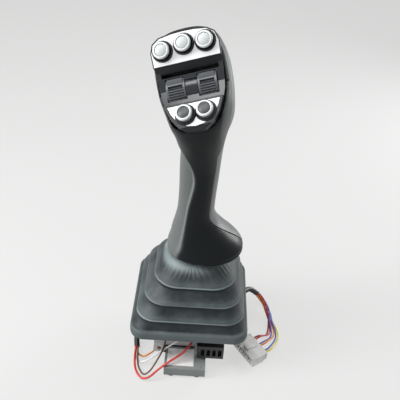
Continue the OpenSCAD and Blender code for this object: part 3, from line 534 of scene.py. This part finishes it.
@dataclass
class Grip:
    """The palm grip and its head: two moulded shells on one form.

    Sizes are in millimetres and degrees. Each section holds: centre x, y, height above the neck,
    half width, half depth in front and behind, turn, tilt, cant, roundness power and the parting
    line's place in depth. Each row of the crease holds a height, an angle and a depth. A pair is
    the start and length of a smooth rise, or the middle and spread of a bump.
    """

    sections: tuple[Row, ...] = (
        (10.2, -0.5, 2, 33.6, 28.6, 28, 0, 0, 0, 0.92, 4),
        (10.4, -0.5, 4.4, 35.4, 30.4, 30, 0, 0, 0, 0.92, 4),
        (10.4, -0.5, 8, 35.6, 30.6, 30, 0, 0, 0, 0.92, 4),
        (10, -0.5, 11.4, 34.4, 29.6, 29.4, 0, 0, 0, 0.92, 4),
        (8.2, -0.4, 17, 31.2, 27.4, 28, 0, 0, 0, 0.92, 4),
        (4.6, -0.2, 24, 26.4, 24.6, 26, 0, 0, 0, 0.94, 4),
        (1.2, 0, 33, 20.8, 21.8, 24.4, 0, 0, 0, 0.96, 4),
        (-0.2, 0, 43, 17.6, 20.4, 23.6, 0, 0, 0, 0.96, 4),
        (-0.1, 0, 55, 17.2, 20, 23.4, 0, 0, 0, 0.96, 4),
        (0.3, 0, 69, 17.6, 20, 23.6, 0, 0, 0, 0.96, 4),
        (0.8, -0.4, 83, 18, 20, 24, 0, 0, 0, 0.96, 4),
        (1.3, -1.6, 97, 18.2, 20.2, 24.4, 0, 0, 0, 0.94, 4),
        (1.8, -4.4, 111, 18.6, 22.4, 26.6, 4, 7, 3, 0.9, 3),
        (1.8, -9.4, 125, 20.4, 26.6, 30.6, 10, 19, 11, 0.84, 1),
        (0.8, -14.6, 137, 23.4, 26.6, 32, 15, 30, 18, 0.74, -1.6),
        (-0.4, -11.4, 146.1, 26.4, 24, 29.4, 18, 38.5, 23.5, 0.66, -3),
        (-3.1, -2.6, 155.5, 28.8, 25, 26, 18, 38.5, 23.5, 0.6, -4),
        (-6, 7, 165.9, 29.8, 25.4, 24, 18, 38.5, 23.5, 0.58, -4),
        (-9.1, 17, 176.7, 29.4, 25.4, 22.6, 18, 38.5, 23.5, 0.6, -4),
        (-11.7, 25.7, 186, 26.4, 24.2, 19.6, 18, 38.5, 23.5, 0.68, -4),
        (-13.1, 30.3, 191, 21.6, 21, 15.4, 18, 38.5, 23.5, 0.76, -4),
        (-13.7, 32.3, 193.1, 13, 14, 9, 18, 38.5, 23.5, 0.86, -4),
        (-13.9, 33.1, 193.9, 0.2, 0.2, 0.2, 18, 38.5, 23.5, 1.0, 0),
    )
    crease: tuple[Row, ...] = (
        (2, 226, 0.0), (16, 233, 1.2), (30, 240, 1.5), (44, 245, 1.5), (58, 250, 1.7), (72, 258, 2.4),
        (86, 262, 3.0), (100, 250, 3.0), (112, 224, 2.0), (122, 196, 0.6), (131, 180, 0.0),
    )
    crease_line: list[Row] = field(init=False)
    crease_steps: int = 3000
    neck_z: float = 115.0
    lip: float = 1.1
    lip_share: float = 0.012
    seam: float = 0.35
    wall: float = 2.2
    foot_groove: float = 0.7
    foot_height: Pair = (7, 0.8)
    waist: float = 1.2
    waist_angle: Pair = (180, 26)
    waist_height: Pair = (71, 30)
    hollow_edge: Pair = (0, 9)
    hollow_spread: float = 62
    # Painted light over the thumb's hollow, a painted highlight along its crease, and painted light on the
    # head's side.
    hollow_light_share: float = 0.62
    inside_edge: Pair = (-3, 10)
    inside_side: Pair = (120, 50)
    crease_shine: Pair = (-3, 5)
    shine_foot: Pair = (4, 12)
    shine_top: Pair = (112, 18)
    head_highlight: float = 0.5
    head_side: Pair = (322, 12)
    head_foot: Pair = (118, 14)
    forward: float = 18
    forward_foot: Pair = (2, 44)
    forward_top: Pair = (108, 18)
    most_sine: float = 0.96
    crowd_along: float = 0.1
    crowd_round: float = 0.86
    columns: int = 130
    rows: int = 170
    stem_band: Pair = (150, 200)

    def __post_init__(self) -> None:
        """Draws the crease's smooth line through its table."""
        count = self.crease_steps
        self.crease_line = [spline_row(self.crease, i / count) for i in range(count + 1)]

    def crease_at(self, height: float) -> Pair:
        """Angle and depth of the thumb hollow's crease at a height above the neck."""
        place = min(max(height, self.crease[0][0]), self.crease[-1][0])
        i = min(bisect_left(self.crease_line, (place,)), self.crease_steps)
        _, angle, depth = self.crease_line[i]
        return angle, max(depth, 0.0)

    def hollow(self, angle: float, height: float) -> float:
        """Depth of the thumb's hollow, whose crease runs on down to the palm rest."""
        soft = self.waist * bell(angle, *self.waist_angle) * bell(height, *self.waist_height)
        if not self.crease[0][0] < height < self.crease[-1][0]:
            return soft
        edge, depth = self.crease_at(height)
        inside = rise(edge - angle, *self.hollow_edge)
        return soft + depth * inside * bell(min(angle, edge), edge, self.hollow_spread)

    def painted_light_at(self, angle: float, height: float) -> float:
        """How pale the skin is painted: painted light over all of the thumb's hollow, a painted highlight
        most along its crease, and painted light on the head's side.
        """
        edge, _ = self.crease_at(height)
        beyond, spread = self.crease_shine
        inside = rise(edge - angle, *self.inside_edge) * rise(angle, *self.inside_side)
        shine = bell(angle, edge + beyond, spread) * rise(height, *self.shine_foot)
        fade = 1 - rise(height, *self.shine_top)
        head = self.head_highlight * rise(angle, *self.head_side) * rise(height, *self.head_foot)
        return (self.hollow_light_share * inside + (1 - self.hollow_light_share) * shine) * fade + head

    def point(self, t: float, angle: float, inset: float) -> Vector:
        """A point of the skin.

        Args:
            t: The place along the grip, from 0 at its foot to 1 at the top of the head.
            angle: The angle round it, from its right side by way of the back.
            inset: How far the point is drawn in.

        Returns:
            The point in the part's frame, in metres.
        """
        x, y, z, half, front, back, turn, tilt, cant, power, _ = spline_row(self.sections, t)
        axes = turned(turn, tilt, cant)
        drawn_in = inset + self.hollow(angle % 360, z) + self.foot_groove * bell(z, *self.foot_height)
        c, s = math.cos(math.radians(angle)), math.sin(math.radians(angle))
        across = max(half - drawn_in, LEAST) * math.copysign(abs(c) ** power, c)
        depth = max((front if s < 0 else back) - drawn_in, LEAST) * math.copysign(abs(s) ** power, s)
        return (Vector((x, y, self.neck_z + z)) + axes.col[0] * across - axes.col[2] * depth) * MM

    def parting_angle(self, t: float, shift: float, right: bool) -> float:
        """The angle at which the parting line runs.

        Args:
            t: The place along the grip.
            shift: How far the line is moved back.
            right: Whether it is the right-hand line, which runs before the left-hand one on the stem.

        Returns:
            The angle from straight across, in degrees.
        """
        _, _, z, _, front, back, _, _, _, power, parting = spline_row(self.sections, t)
        depth = parting + shift
        if right:
            depth -= self.forward * rise(z, *self.forward_foot) * (1 - rise(z, *self.forward_top))
        reach = max(front if depth < 0 else back, 1.0)
        sine = min(abs(depth) / reach, self.most_sine) ** (1 / power)
        return math.degrees(math.copysign(math.asin(sine), depth))

    def skin(self, half: Half) -> Bmesh:
        """One half of the form, with its edges rolled inwards at the parting line."""

        def spot(u: float, v: float) -> Triple:
            """The place along the grip, the share of the way round this half, and the angle."""
            along, spread = crowded_ends(v, self.crowd_along), crowded_ends(u, self.crowd_round)
            shift = -self.seam / 2 if half is Half.FRONT else self.seam / 2
            left, right = (self.parting_angle(along, shift, side) for side in (False, True))
            low, high = (180 - left, 360 + right) if half is Half.FRONT else (right, 180 - left)
            return along, spread, low + (high - low) * spread

        def place(u: float, v: float) -> Vector:
            """The skin's point there."""
            along, spread, angle = spot(u, v)
            near = min(min(spread, 1 - spread) / self.lip_share, 1.0)
            return self.point(along, angle, self.lip * (1 - math.sqrt(max(0.0, 1 - (1 - near) ** 2))))

        def painted_light(u: float, v: float) -> float:
            """How pale the skin is painted there, by painted light."""
            along, _, angle = spot(u, v)
            return self.painted_light_at(angle, spline_row(self.sections, along)[2])

        return sheet_on(place, painted_light, self.columns, self.rows)

    def build(self, face: "Face") -> None:
        """Makes both shells and cuts the front one open behind the face."""
        for half, node, finish, slot in (
            (Half.FRONT, "grip_front_shell", SOFT_BLACK, "grip_soft_black"),
            (Half.REAR, "grip_rear_shell", REAR_GREY, "grip_rear_grey"),
        ):
            bm = self.skin(half)
            if half is Half.FRONT:
                face.cut_open(bm)
            face_outwards(bm, *(height * MM for height in self.stem_band))
            piece = finished(half.value, bm, finish, slot)
            walled(piece, self.wall * MM)
            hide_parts(node)
            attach(piece, Body.GRIP.value)


# ---- face and controls ----


@dataclass
class Face:
    """The head's face and its push buttons. Sizes in millimetres and degrees.

    Each spot holds a button's name and its place across and up the plate.
    """

    middle: Triple = (-8.7, -12, 285)
    turn: float = 18
    tilt: float = 38.5
    cant: float = 23.5
    fold: float = 7.5
    bezel_depth: float = 6.0
    cap_r: float = 6.8
    stem_r: float = 2.0
    top_spots: tuple[tuple[str, float, float], ...] = (
        ("top_left", -17.8, 30.2),
        ("top_middle", -0.2, 32.4),
        ("top_right", 17, 31.2),
    )
    lower_spots: tuple[tuple[str, float, float], ...] = (
        ("lower_left", -7.3, -23.2),
        ("lower_right", 9.1, -23.2),
    )

    def axes(self, fold: float = 0.0) -> Matrix:
        """The face's placing matrix, folded about its middle line."""
        turned_face = turned(self.turn, self.tilt, self.cant) @ Matrix.Rotation(math.radians(fold), 3, "X")
        return Matrix.Translation(Vector(self.middle) * MM) @ turned_face.to_4x4()

    def cut_open(self, bm: Bmesh) -> None:
        """Cuts away what stands before the back of the bezel."""
        level = self.axes()
        middle = level.translation
        up = level.col[1].xyz
        everything = bm.verts[:] + bm.edges[:] + bm.faces[:]
        bmesh.ops.bisect_plane(bm, geom=everything, plane_co=middle, plane_no=up)
        for sign in (1, -1):
            plane = self.axes(sign * self.fold)
            out = plane.col[2].xyz
            faces = [f for f in bm.faces if (f.calc_center_median() - middle).dot(up) * sign > 0]
            verts = {v for f in faces for v in f.verts}
            edges = {e for f in faces for e in f.edges}
            bmesh.ops.bisect_plane(
                bm, geom=list(verts) + list(edges) + faces, plane_co=middle - out * self.bezel_depth * MM,
                plane_no=out, clear_outer=True,
            )

    def build(self) -> None:
        """Makes the five buttons."""
        for spots, fold, body, disc, slot in (
            (self.top_spots, self.fold, CAP_BLACK, DISC_LIGHT, "cap_upper"),
            (self.lower_spots, -self.fold, CAP_GREY, DISC_DARK, "cap_lower"),
        ):
            for name, across, up in spots:
                place = self.axes(fold) @ Matrix.Translation(Vector((across, up, 0)) * MM)
                self._button(name, place, body, disc, slot)

    def _button(self, name: str, place: Matrix, body: Finish, disc: Finish, slot: str) -> None:
        """Makes one push button: cap, inlaid disc, a pale rim over its rounded edge that is a painted
        highlight, and the rubber seal round it.

        Args:
            name: The button's name.
            place: Its placing matrix, with Z out of the plate that it stands on.
            body: The finish of its body.
            disc: The finish of the disc in its top.
            slot: The record's material slot of the cap.
        """
        r, stem = self.cap_r, self.stem_r
        cap_line = [
            (0, -8.4), (stem, -8.4), (stem, -2.4), (r - 0.3, -2.4), (r, -2.1), (r, 3.7), (r - 0.06, 4.2),
            (r - 0.25, 4.8), (r - 0.55, 5.35), (r - 0.9, 5.7), (r - 1.25, 5.88), (r - 1.6, 5.92),
            (r - 1.9, 5.84), (r - 2.02, 5.6), (r - 2.02, 5.1), (0, 5.1),
        ]
        disc_line = [(0, 5.1), (r - 2.1, 5.1), (r - 2.1, 5.5), (r - 2.25, 5.66), (0, 5.74)]
        # The rim: a pale band over the cap's rounded edge, a painted highlight.
        rim_line = [
            (r - 0.2, 4.5), (r - 0.14, 4.75), (r - 0.4, 5.38), (r - 0.78, 5.8), (r - 1.2, 6.02),
            (r - 1.6, 6.04), (r - 1.92, 5.92), (r - 1.98, 5.6), (r - 1.6, 5.5), (r - 0.8, 5.1),
            (r - 0.4, 4.5),
        ]
        seal_line = [
            (r + 0.3, -1.2), (r + 0.35, 0.9), (r + 0.6, 1.25), (r + 0.95, 1.2), (r + 1.4, 0.6),
            (r + 1.75, 0.1), (r + 1.75, -1.2),
        ]
        rider = f"{name}_button_body"
        for part, line, finish, where, carrier in (
            ("cap", cap_line, body, slot, rider),
            ("disc", disc_line, disc, slot, rider),
            ("rim", rim_line, RIM_HIGHLIGHT, slot, rider),
            ("seal", seal_line, SEAL_RUBBER, "bezel_black", Body.GRIP.value),
        ):
            bm = lathe([(radius * MM, height * MM) for radius, height in line])
            bmesh.ops.transform(bm, matrix=place, verts=bm.verts)
            piece = finished(f"{name}_{part}", bm, finish, where)
            if part == "cap":
                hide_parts(f"{name}_button")
            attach(piece, carrier)


# ---- boot ----


@dataclass
class Boot:
    """The bellows boot, in two pieces that meet in a fold.

    Sizes are in millimetres. Each row of the folds holds: half side less the rim's, height above the
    flange, sideways shift and corner radius. The crests are the heights of the folds' edges, along which
    painted highlights run. A pair is the middle and spread of a bump, or the start and length of a smooth
    rise.
    """

    rim_half: float = 55.5
    flange_top: float = 49.0
    seam_z: float = 83.2
    wall: float = 1.8
    crests: Triple = (15.9, 31.6, 47.6)
    folds: tuple[Row, ...] = (
        (0.0, -4.6, 0, 13), (0.35, -3.4, 0, 13), (0.45, 0, 0, 13.4), (0.3, 3.0, 0, 14), (-0.6, 4.7, 0, 14),
        (-2.6, 5.5, 0, 14), (-4.2, 9, 0, 16), (-4.9, 12.6, 0.3, 18), (-4.3, 15.4, 0.5, 19),
        (-4.9, 17.2, 0.6, 19), (-7.2, 19.6, 0.8, 19), (-9.8, 24, 1.2, 20), (-10.9, 28, 1.5, 20),
        (-9.9, 31.0, 1.8, 21), (-9.8, 32.6, 1.9, 22), (-12.2, 34.8, 2.2, 22), (-15.4, 39, 2.6, 22),
        (-17.8, 43.6, 3.1, 22), (-17.0, 46.8, 3.2, 23), (-17.4, 48.8, 3.2, 24), (-20.2, 52, 2.8, 24),
        (-24.6, 57.4, 1.9, 23.5), (-27.8, 61.4, 1.1, 22.6), (-31.6, 64.2, 0.6, 21), (-37, 65.6, 0.2, 17.4),
    )
    profile_steps: int = 800
    corner_share: float = 0.62
    columns: int = 240
    lower_rows: int = 190
    upper_rows: int = 130
    lower_overlap: float = 0.006
    upper_overlap: float = 0.01
    upper_inset: float = 0.12
    neck_creases: int = 44
    neck_crease: float = 0.28
    neck_crease_height: Pair = (57.5, 4.5)
    neck_wander: Pair = (2, 30)
    sags: int = 5
    sag_start: float = 1.1
    sag: float = 0.5
    sag_height: Pair = (24, 5)
    # Painted highlights along the folds' crests, with a fainter haze above each, and pale bands at the neck
    # and the rim.
    crest_spread: float = 0.75
    crest_haze: float = 0.14
    haze_height: Pair = (2, 3)
    pale_neck: float = 0.85
    neck_height: Pair = (62.4, 3.6)
    pale_rim: float = 0.34
    rim_height: Pair = (4.2, 1.4)
    uneven: float = 0.18

    def ring_point(self, u: float, row: Row, inset: float) -> Vector:
        """A point at place u round the rounded square of one row, drawn in by inset."""
        grow, height, shift, corner = row
        half = self.rim_half + grow - inset
        corner = max(min(corner, half - 0.5) - inset, 1.0)
        quarter = min(int(u * 4), 3)
        passed = u * 4 - quarter
        turn = min(passed / self.corner_share, 1.0)
        slide = max(passed - self.corner_share, 0.0) / (1 - self.corner_share)
        angle = math.radians(90 * (quarter + turn))
        side = half - corner
        x = side if quarter in (0, 3) else -side
        y = side if quarter < 2 else -side
        along_x, along_y = ((-1, 0), (0, -1), (1, 0), (0, 1))[quarter]
        x += along_x * 2 * side * slide + corner * math.cos(angle) + shift
        y += along_y * 2 * side * slide + corner * math.sin(angle)
        return Vector((x, y, self.flange_top + height))

    def surface(self, u: float, along: float, inset: float) -> Vector:
        """A point of the boot at place u round it and a place along its profile, with its small creases."""
        row = spline_row(self.folds, along)
        point = self.ring_point(u, row, inset)
        _, height, shift, _ = row
        turn = 2 * math.pi * u
        swing, pace = self.neck_wander
        wrinkles = math.sin(self.neck_creases * turn + swing * math.sin(pace * u))
        waves = math.sin(self.sags * turn + self.sag_start)
        out = self.neck_crease * bell(height, *self.neck_crease_height) * wrinkles
        out += self.sag * bell(height, *self.sag_height) * waves
        return (point + Vector((point.x - shift, point.y, 0)).normalized() * out) * MM

    def painted_light_at(self, u: float, along: float) -> float:
        """How pale the boot is painted at place u round it and at a place along its profile: painted
        highlights along the folds' crests with a haze above each, and pale bands at the neck and the rim,
        unevenly.
        """
        height = spline_row(self.folds, along)[1]
        above, spread = self.haze_height
        lines = sum(
            bell(height, crest, self.crest_spread) + self.crest_haze * bell(height, crest + above, spread)
            for crest in self.crests
        )
        neck = self.pale_neck * bell(height, *self.neck_height)
        rim = self.pale_rim * (1 - rise(height, *self.rim_height))
        patchy = 1 - self.uneven + self.uneven * math.sin(6 * math.pi * u + 9 * along)
        return min(1.0, lines + neck + rim) * patchy

    def place_of(self, height: float) -> float:
        """The place along the profile, from 0 to 1, at a height above the ground, in millimetres."""
        for i in range(self.profile_steps):
            place = i / self.profile_steps
            if self.flange_top + spline_row(self.folds, place)[1] >= height:
                return place
        return 1.0

    def part(self, name: str, low: float, high: float, inset: float, rows: int) -> Object:
        """Makes one piece of the boot.

        Args:
            name: The piece's name.
            low: The place along the profile at which it starts.
            high: The place at which it ends.
            inset: How far it is drawn in.
            rows: Its faces along the profile.

        Returns:
            The piece, walled and in place of the CAD boot.
        """

        def along(v: float) -> float:
            """The place along the whole profile."""
            return low + (high - low) * v

        bm = sheet_on(
            lambda u, v: self.surface(u, along(v), inset), lambda u, v: self.painted_light_at(u, along(v)),
            self.columns, rows,
        )
        bmesh.ops.remove_doubles(bm, verts=bm.verts, dist=2e-6)
        face_outwards(bm)
        piece = finished(name, bm, BOOT_RUBBER, "boot_rubber")
        walled(piece, self.wall * MM)
        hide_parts("boot")
        return piece

    def build(self) -> None:
        """Makes the lower and upper piece and bakes their placing into their meshes."""
        seam = self.place_of(self.seam_z)
        lower = self.part("boot_lower", 0.0, seam + self.lower_overlap, 0.0, self.lower_rows)
        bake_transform(lower)
        upper = self.part("boot_upper", seam - self.upper_overlap, 1.0, self.upper_inset, self.upper_rows)
        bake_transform(upper)


# ---- wiring ----


def route_through(points: Sequence[Row], steps: int) -> list[Vector]:
    """The smooth centreline through a route's points, in metres."""
    count = (len(points) - 1) * steps
    return [Vector(spline_row(points, i / count)) * MM for i in range(count + 1)]


def line_length(line: Sequence[Vector]) -> float:
    """Length of a line of points."""
    return sum((b - a).length for a, b in zip(line, line[1:]))


@dataclass
class Wiring:
    """Sleeves and wires. Routes are in millimetres."""

    wire_d: float = 1.7
    thick_d: float = 2.2
    sleeve_d: float = 5.8
    left_d: float = 5.6
    route_steps: int = 30
    connector_at: Pair = (64, -25)
    connector_turn: float = -56
    connector_half_depth: float = 9.5
    wire_pitch: float = 4.6
    low_row: float = 3.4
    high_row: float = 6.8
    ways: tuple[int, ...] = (0, 1, 3, 5, 4, 2)
    mouth: Triple = (72.5, 45, 16.5)
    left_mouth: Triple = (-51.5, -29, 3.6)
    left_spread: float = 0.9

    def cord(
        self, name: str, node: str, route: Sequence[Row], diameter: float, finish: Finish,
    ) -> None:
        """Makes one cord that replaces its CAD solid.

        Args:
            name: The piece's name.
            node: The CAD node that it stands for.
            route: The points it follows, in millimetres.
            diameter: Its diameter in millimetres.
            finish: Its finish.
        """
        line = route_through(route, max(2, round(self.route_steps / (len(route) - 1))))
        curve = bpy.data.curves.new(name, "CURVE")
        curve.dimensions = "3D"
        curve.bevel_depth = diameter / 2 * MM
        curve.bevel_resolution = 5
        curve.use_fill_caps = True
        spline = curve.splines.new("POLY")
        spline.points.add(len(line) - 1)
        for target, point in zip(spline.points, line):
            target.co = (*point, 1.0)
        curve.materials.append(finish.material())
        piece = added(name, curve)
        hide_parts(node)
        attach(piece, Body.BASE.value)
        tuple(line[0])
        line_length(line)
        log.info("%s: cord of %.0f mm", name, line_length(line) / MM)

    def at_connector(self, x: float, y: float, z: float) -> Vector:
        """A point given across, behind and above the connector's middle."""
        a = math.radians(self.connector_turn)
        return Vector((
            self.connector_at[0] + x * math.cos(a) - y * math.sin(a),
            self.connector_at[1] + x * math.sin(a) + y * math.cos(a),
            z,
        ))

    def harness_route(self, i: int) -> list[Row]:
        """The route of wire i out of the sleeve, round and into the connector's wire face."""

        def bundled(centre: Row, angle: float, heading: float, r: float = 2.3) -> Vector:
            """The wire's place in the bundle, on a ring that faces along a heading."""
            a, h = math.radians(60 * i + angle), math.radians(heading)
            aside = math.cos(a) * Vector((math.cos(h), math.sin(h), 0))
            return Vector(centre) + r * (aside + Vector((0, 0, math.sin(a))))

        way = self.ways[i]
        high = way % 2
        end = self.at_connector(
            (way - (len(self.ways) - 1) / 2) * self.wire_pitch, self.connector_half_depth,
            self.high_row if high else self.low_row,
        )
        points = (
            bundled(self.mouth, 44, 60, 2), bundled((80.5, 38, 9.6), 64, 53),
            bundled((84.6, 28, 5.6), 110, 18), bundled((87, 16, 3.6), 180, 6),
            Vector((82 + 2.4 * way, -0.6 * way, 2.8 if high else 1.2)),
            end + Vector((7.4, 5, 1 if high else 0.4)), end,
        )
        return [tuple(point) for point in points]

    def build(self) -> None:
        """Makes both sleeves, the harness wires and the left-hand wires."""
        self.cord(
            "harness_jacket", "harness_sleeve",
            [(34, 16, 24), (40, 16, 24), (47, 22.6, 26), (56, 36, 25.6), (63.6, 44.6, 22.6), self.mouth],
            self.sleeve_d, SLEEVE)
        for i, shade in enumerate(("dark_red", "red", "orange", "yellow", "blue", "violet")):
            self.cord(
                f"harness_{shade}", f"harness_wire_{i + 1}", self.harness_route(i), self.wire_d,
                wire_finish(shade, shade))
        self.cord(
            "left_jacket", "left_sleeve",
            [(-33, 15, 18), (-39, 15, 18), (-47, 8, 15.4), (-53, -12, 8), self.left_mouth],
            self.left_d, SLEEVE)
        x, y, z = self.left_mouth
        near, far = x + self.left_spread, x - self.left_spread
        y += 0.3
        low, high = z - self.left_spread, z + 1
        for shade, diameter, route in (
            ("orange", self.wire_d, [
                (near, y, low), (-49.6, -36, 2), (-44, -40, 2.4), (-37.6, -38, 5), (-32.4, -35.4, 8),
                (-29.6, -32, 9.5)]),
            ("white", self.wire_d, [
                (far, y, low), (-51.6, -40, 1.6), (-47, -47, 2.4), (-40, -48.5, 6.4), (-32, -46, 12),
                (-22, -42.4, 18.4), (-11, -38.6, 25), (-3, -36, 29), (0.5, -32, 33)]),
            ("red", self.thick_d, [
                (far, y, high), (-52.4, -42, 3.4), (-50, -56, 2.4), (-43.5, -66, 2.2), (-36, -67.4, 5),
                (-27, -62.6, 11.4), (-17, -56.6, 16.6), (-6, -50.4, 21), (3, -42, 27.6), (6, -32, 33)]),
            ("brown", self.wire_d, [
                (near, y, high), (-49.4, -42, 4), (-47.4, -53, 2.8), (-41.8, -62, 2.6), (-35.4, -61.4, 7),
                (-29, -53.6, 14), (-24.4, -44.6, 19), (-22, -33.6, 22)]),
        ):
            name = f"left_{shade}"
            finish = wire_finish(name, shade)
            self.cord(name, f"{shade}_wire", route, diameter, finish)


# ---- pieces that keep their CAD shape ----


@dataclass
class KeptPieces:
    """The pieces that keep their CAD shape, by the finish that they get."""

    dressing: tuple[tuple[Finish, tuple[str, ...]], ...] = (
        (BEZEL_BLACK, ("head_bezel",)),
        (PLATE_SILVER, ("top_plate", "lower_plate")),
        (CRADLE_GLOSS, ("roller_cradle",)),
        (ROLLER_BLACK, ("left_roller", "right_roller")),
        (HOUSING_BLACK, ("button_switches", "bottom_cover", "gimbal_housing", "harness_gland", "grip_base")),
        (SEAL_RUBBER, ("cover_feet", "module_feet")),
        (ZINC, ("cover_screws", "flange_screws", "bracket_screws")),
        (FLANGE_STEEL, ("mounting_flange",)),
        (BRONZE, ("pitch_bushes", "roll_bushes")),
        (BOARD_GREEN, ("switch_board", "pitch_sensor_board", "roll_sensor_board")),
        (STEEL, ("roller_axle", "lever_shaft", "grip_clamp")),
        (STEEL, ("pitch_spring", "roll_spring", "pitch_magnet", "roll_magnet")),
        (CAST, ("gimbal_yoke", "lever_block")),
        (MODULE_GREY, ("module_case",)),
        (LID_GREY, ("module_lid",)),
        (LABEL_WHITE, ("module_label",)),
        (BRACKET_GREY, ("module_bracket",)),
        (CONNECTOR_BLACK, ("relay_block",)),
        (NYLON, ("harness_connector",)),
    )

    def build(self) -> None:
        """Gives each piece its finish."""
        for finish, names in self.dressing:
            for name in names:
                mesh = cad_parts[name].data
                mesh.materials.clear()
                mesh.materials.append(finish.material())


# ---- studio ----


@dataclass
class Studio:
    """Camera, soft lights and the pale floor. Places in metres, angles in degrees.

    Each lamp holds its name, its place, its width and height, and its power in watts.
    """

    camera_at: Triple = (0.0034, -0.441, 0.478)
    look_down: float = 35.0
    roll: float = 3.4
    lens: float = 54.0
    near: float = 0.01
    aim: Triple = (0, 0, 0.18)
    lamps: tuple[tuple[str, Triple, Pair, float], ...] = (
        ("left_box", (-0.8, -0.2, 0.55), (0.3, 0.7), 9),
        ("top_box", (-0.3, -0.2, 1.4), (0.9, 0.8), 12),
        ("right_box", (0.62, 0.5, 0.42), (0.22, 0.6), 4.5),
    )
    ambient: float = 0.22
    ambient_colour: Triple = (0.9, 0.95, 1.0)
    backdrop_colour: Triple = (0.8, 0.8, 0.8)
    floor_half: float = 6.0
    floor_colour: Triple = (0.7, 0.7, 0.7)
    floor_roughness: float = 0.9
    floor_glow: Triple = (0.8, 0.8, 0.79)
    floor_share: float = 0.74

    def camera(self) -> None:
        """Places the camera."""
        data = bpy.data.cameras.new("camera")
        data.lens = self.lens
        data.clip_start = self.near
        camera = added("camera", data)
        down = Matrix.Rotation(math.radians(90 - self.look_down), 4, "X")
        roll = Matrix.Rotation(math.radians(self.roll), 4, "Z")
        camera.matrix_world = Matrix.Translation(self.camera_at) @ down @ roll
        bpy.context.scene.camera = camera

    def lamp(self, name: str, at: Triple, size: Pair, power: float) -> None:
        """Hangs one soft box that looks at the grip."""
        data = bpy.data.lights.new(name, "AREA")
        data.shape = "RECTANGLE"
        data.size, data.size_y = size
        data.energy = power
        lamp = added(name, data)
        lamp.location = at
        lamp.rotation_euler = (Vector(self.aim) - Vector(at)).to_track_quat("-Z", "Y").to_euler()

    def floor(self) -> None:
        """Lays the pale floor."""
        bm = bmesh.new()
        bmesh.ops.create_grid(bm, x_segments=1, y_segments=1, size=self.floor_half)
        floor = added("floor", mesh_of("floor", bm, self._floor_material()))

    def _seen(self, tree: Tree) -> Socket:
        """1 for what the camera sees, straight or in gloss and glass, and 0 for what lights the object."""
        path = add(tree, "LightPath")
        seen = path.outputs["Is Camera Ray"]
        for kind in ("Is Glossy Ray", "Is Transmission Ray"):
            either = math_node(tree, "MAXIMUM")
            join(tree, (seen, either.inputs[0]), (path.outputs[kind], either.inputs[1]))
            seen = either.outputs[0]
        return seen

    def _mixed(self, tree: Tree, share: Socket, plain: Socket, seen: Socket, surface: Socket) -> None:
        """Gives a surface its plain shader, and by a share the one that is seen."""
        mix = add(tree, "MixShader")
        for place, source in enumerate((share, plain, seen)):
            join(tree, (source, mix.inputs[place]))
        join(tree, (mix.outputs[0], surface))

    def _floor_material(self) -> Material:
        """Pale floor that shows as the backdrop's colour and keeps the object's shadow."""
        material = bpy.data.materials.new("pale_floor")
        material.use_nodes = True
        tree = material.node_tree
        shader = tree.nodes["Principled BSDF"]
        set_inputs(shader, {"Base Color": (*self.floor_colour, 1), "Roughness": self.floor_roughness})
        set_inputs(shader, {"Specular IOR Level": 0.0})
        glow = add(tree, "Emission", {"Color": (*self.floor_glow, 1)})
        share = math_node(tree, "MULTIPLY")
        share.inputs[1].default_value = self.floor_share
        join(tree, (self._seen(tree), share.inputs[0]))
        surface = tree.nodes["Material Output"].inputs["Surface"]
        self._mixed(tree, share.outputs[0], shader.outputs[0], glow.outputs[0], surface)
        return material

    def world(self) -> None:
        """Lights the scene softly from all round, behind a pale backdrop."""
        world = bpy.data.worlds.new("studio")
        bpy.context.scene.world = world
        world.use_nodes = True
        tree = world.node_tree
        light = tree.nodes["Background"]
        set_inputs(light, {"Color": (*self.ambient_colour, 1), "Strength": self.ambient})
        backdrop = add(tree, "Background", {"Color": (*self.backdrop_colour, 1)})
        surface = tree.nodes["World Output"].inputs["Surface"]
        self._mixed(tree, self._seen(tree), light.outputs[0], backdrop.outputs[0], surface)

    def build(self) -> None:
        """Sets up everything round the joystick."""
        self.world()
        self.floor()
        for name, at, size, power in self.lamps:
            self.lamp(name, at, size, power)
        bpy.context.scene.view_settings.view_transform = "Standard"


def main() -> None:
    """Builds the joystick's looks in order."""
    logging.basicConfig(level=logging.INFO)
    studio = Studio()
    studio.camera()
    Wiring().build()
    face = Face()
    Grip().build(face)
    face.build()
    Boot().build()
    KeptPieces().build()
    studio.build()


if __name__ == "__main__":
    main()
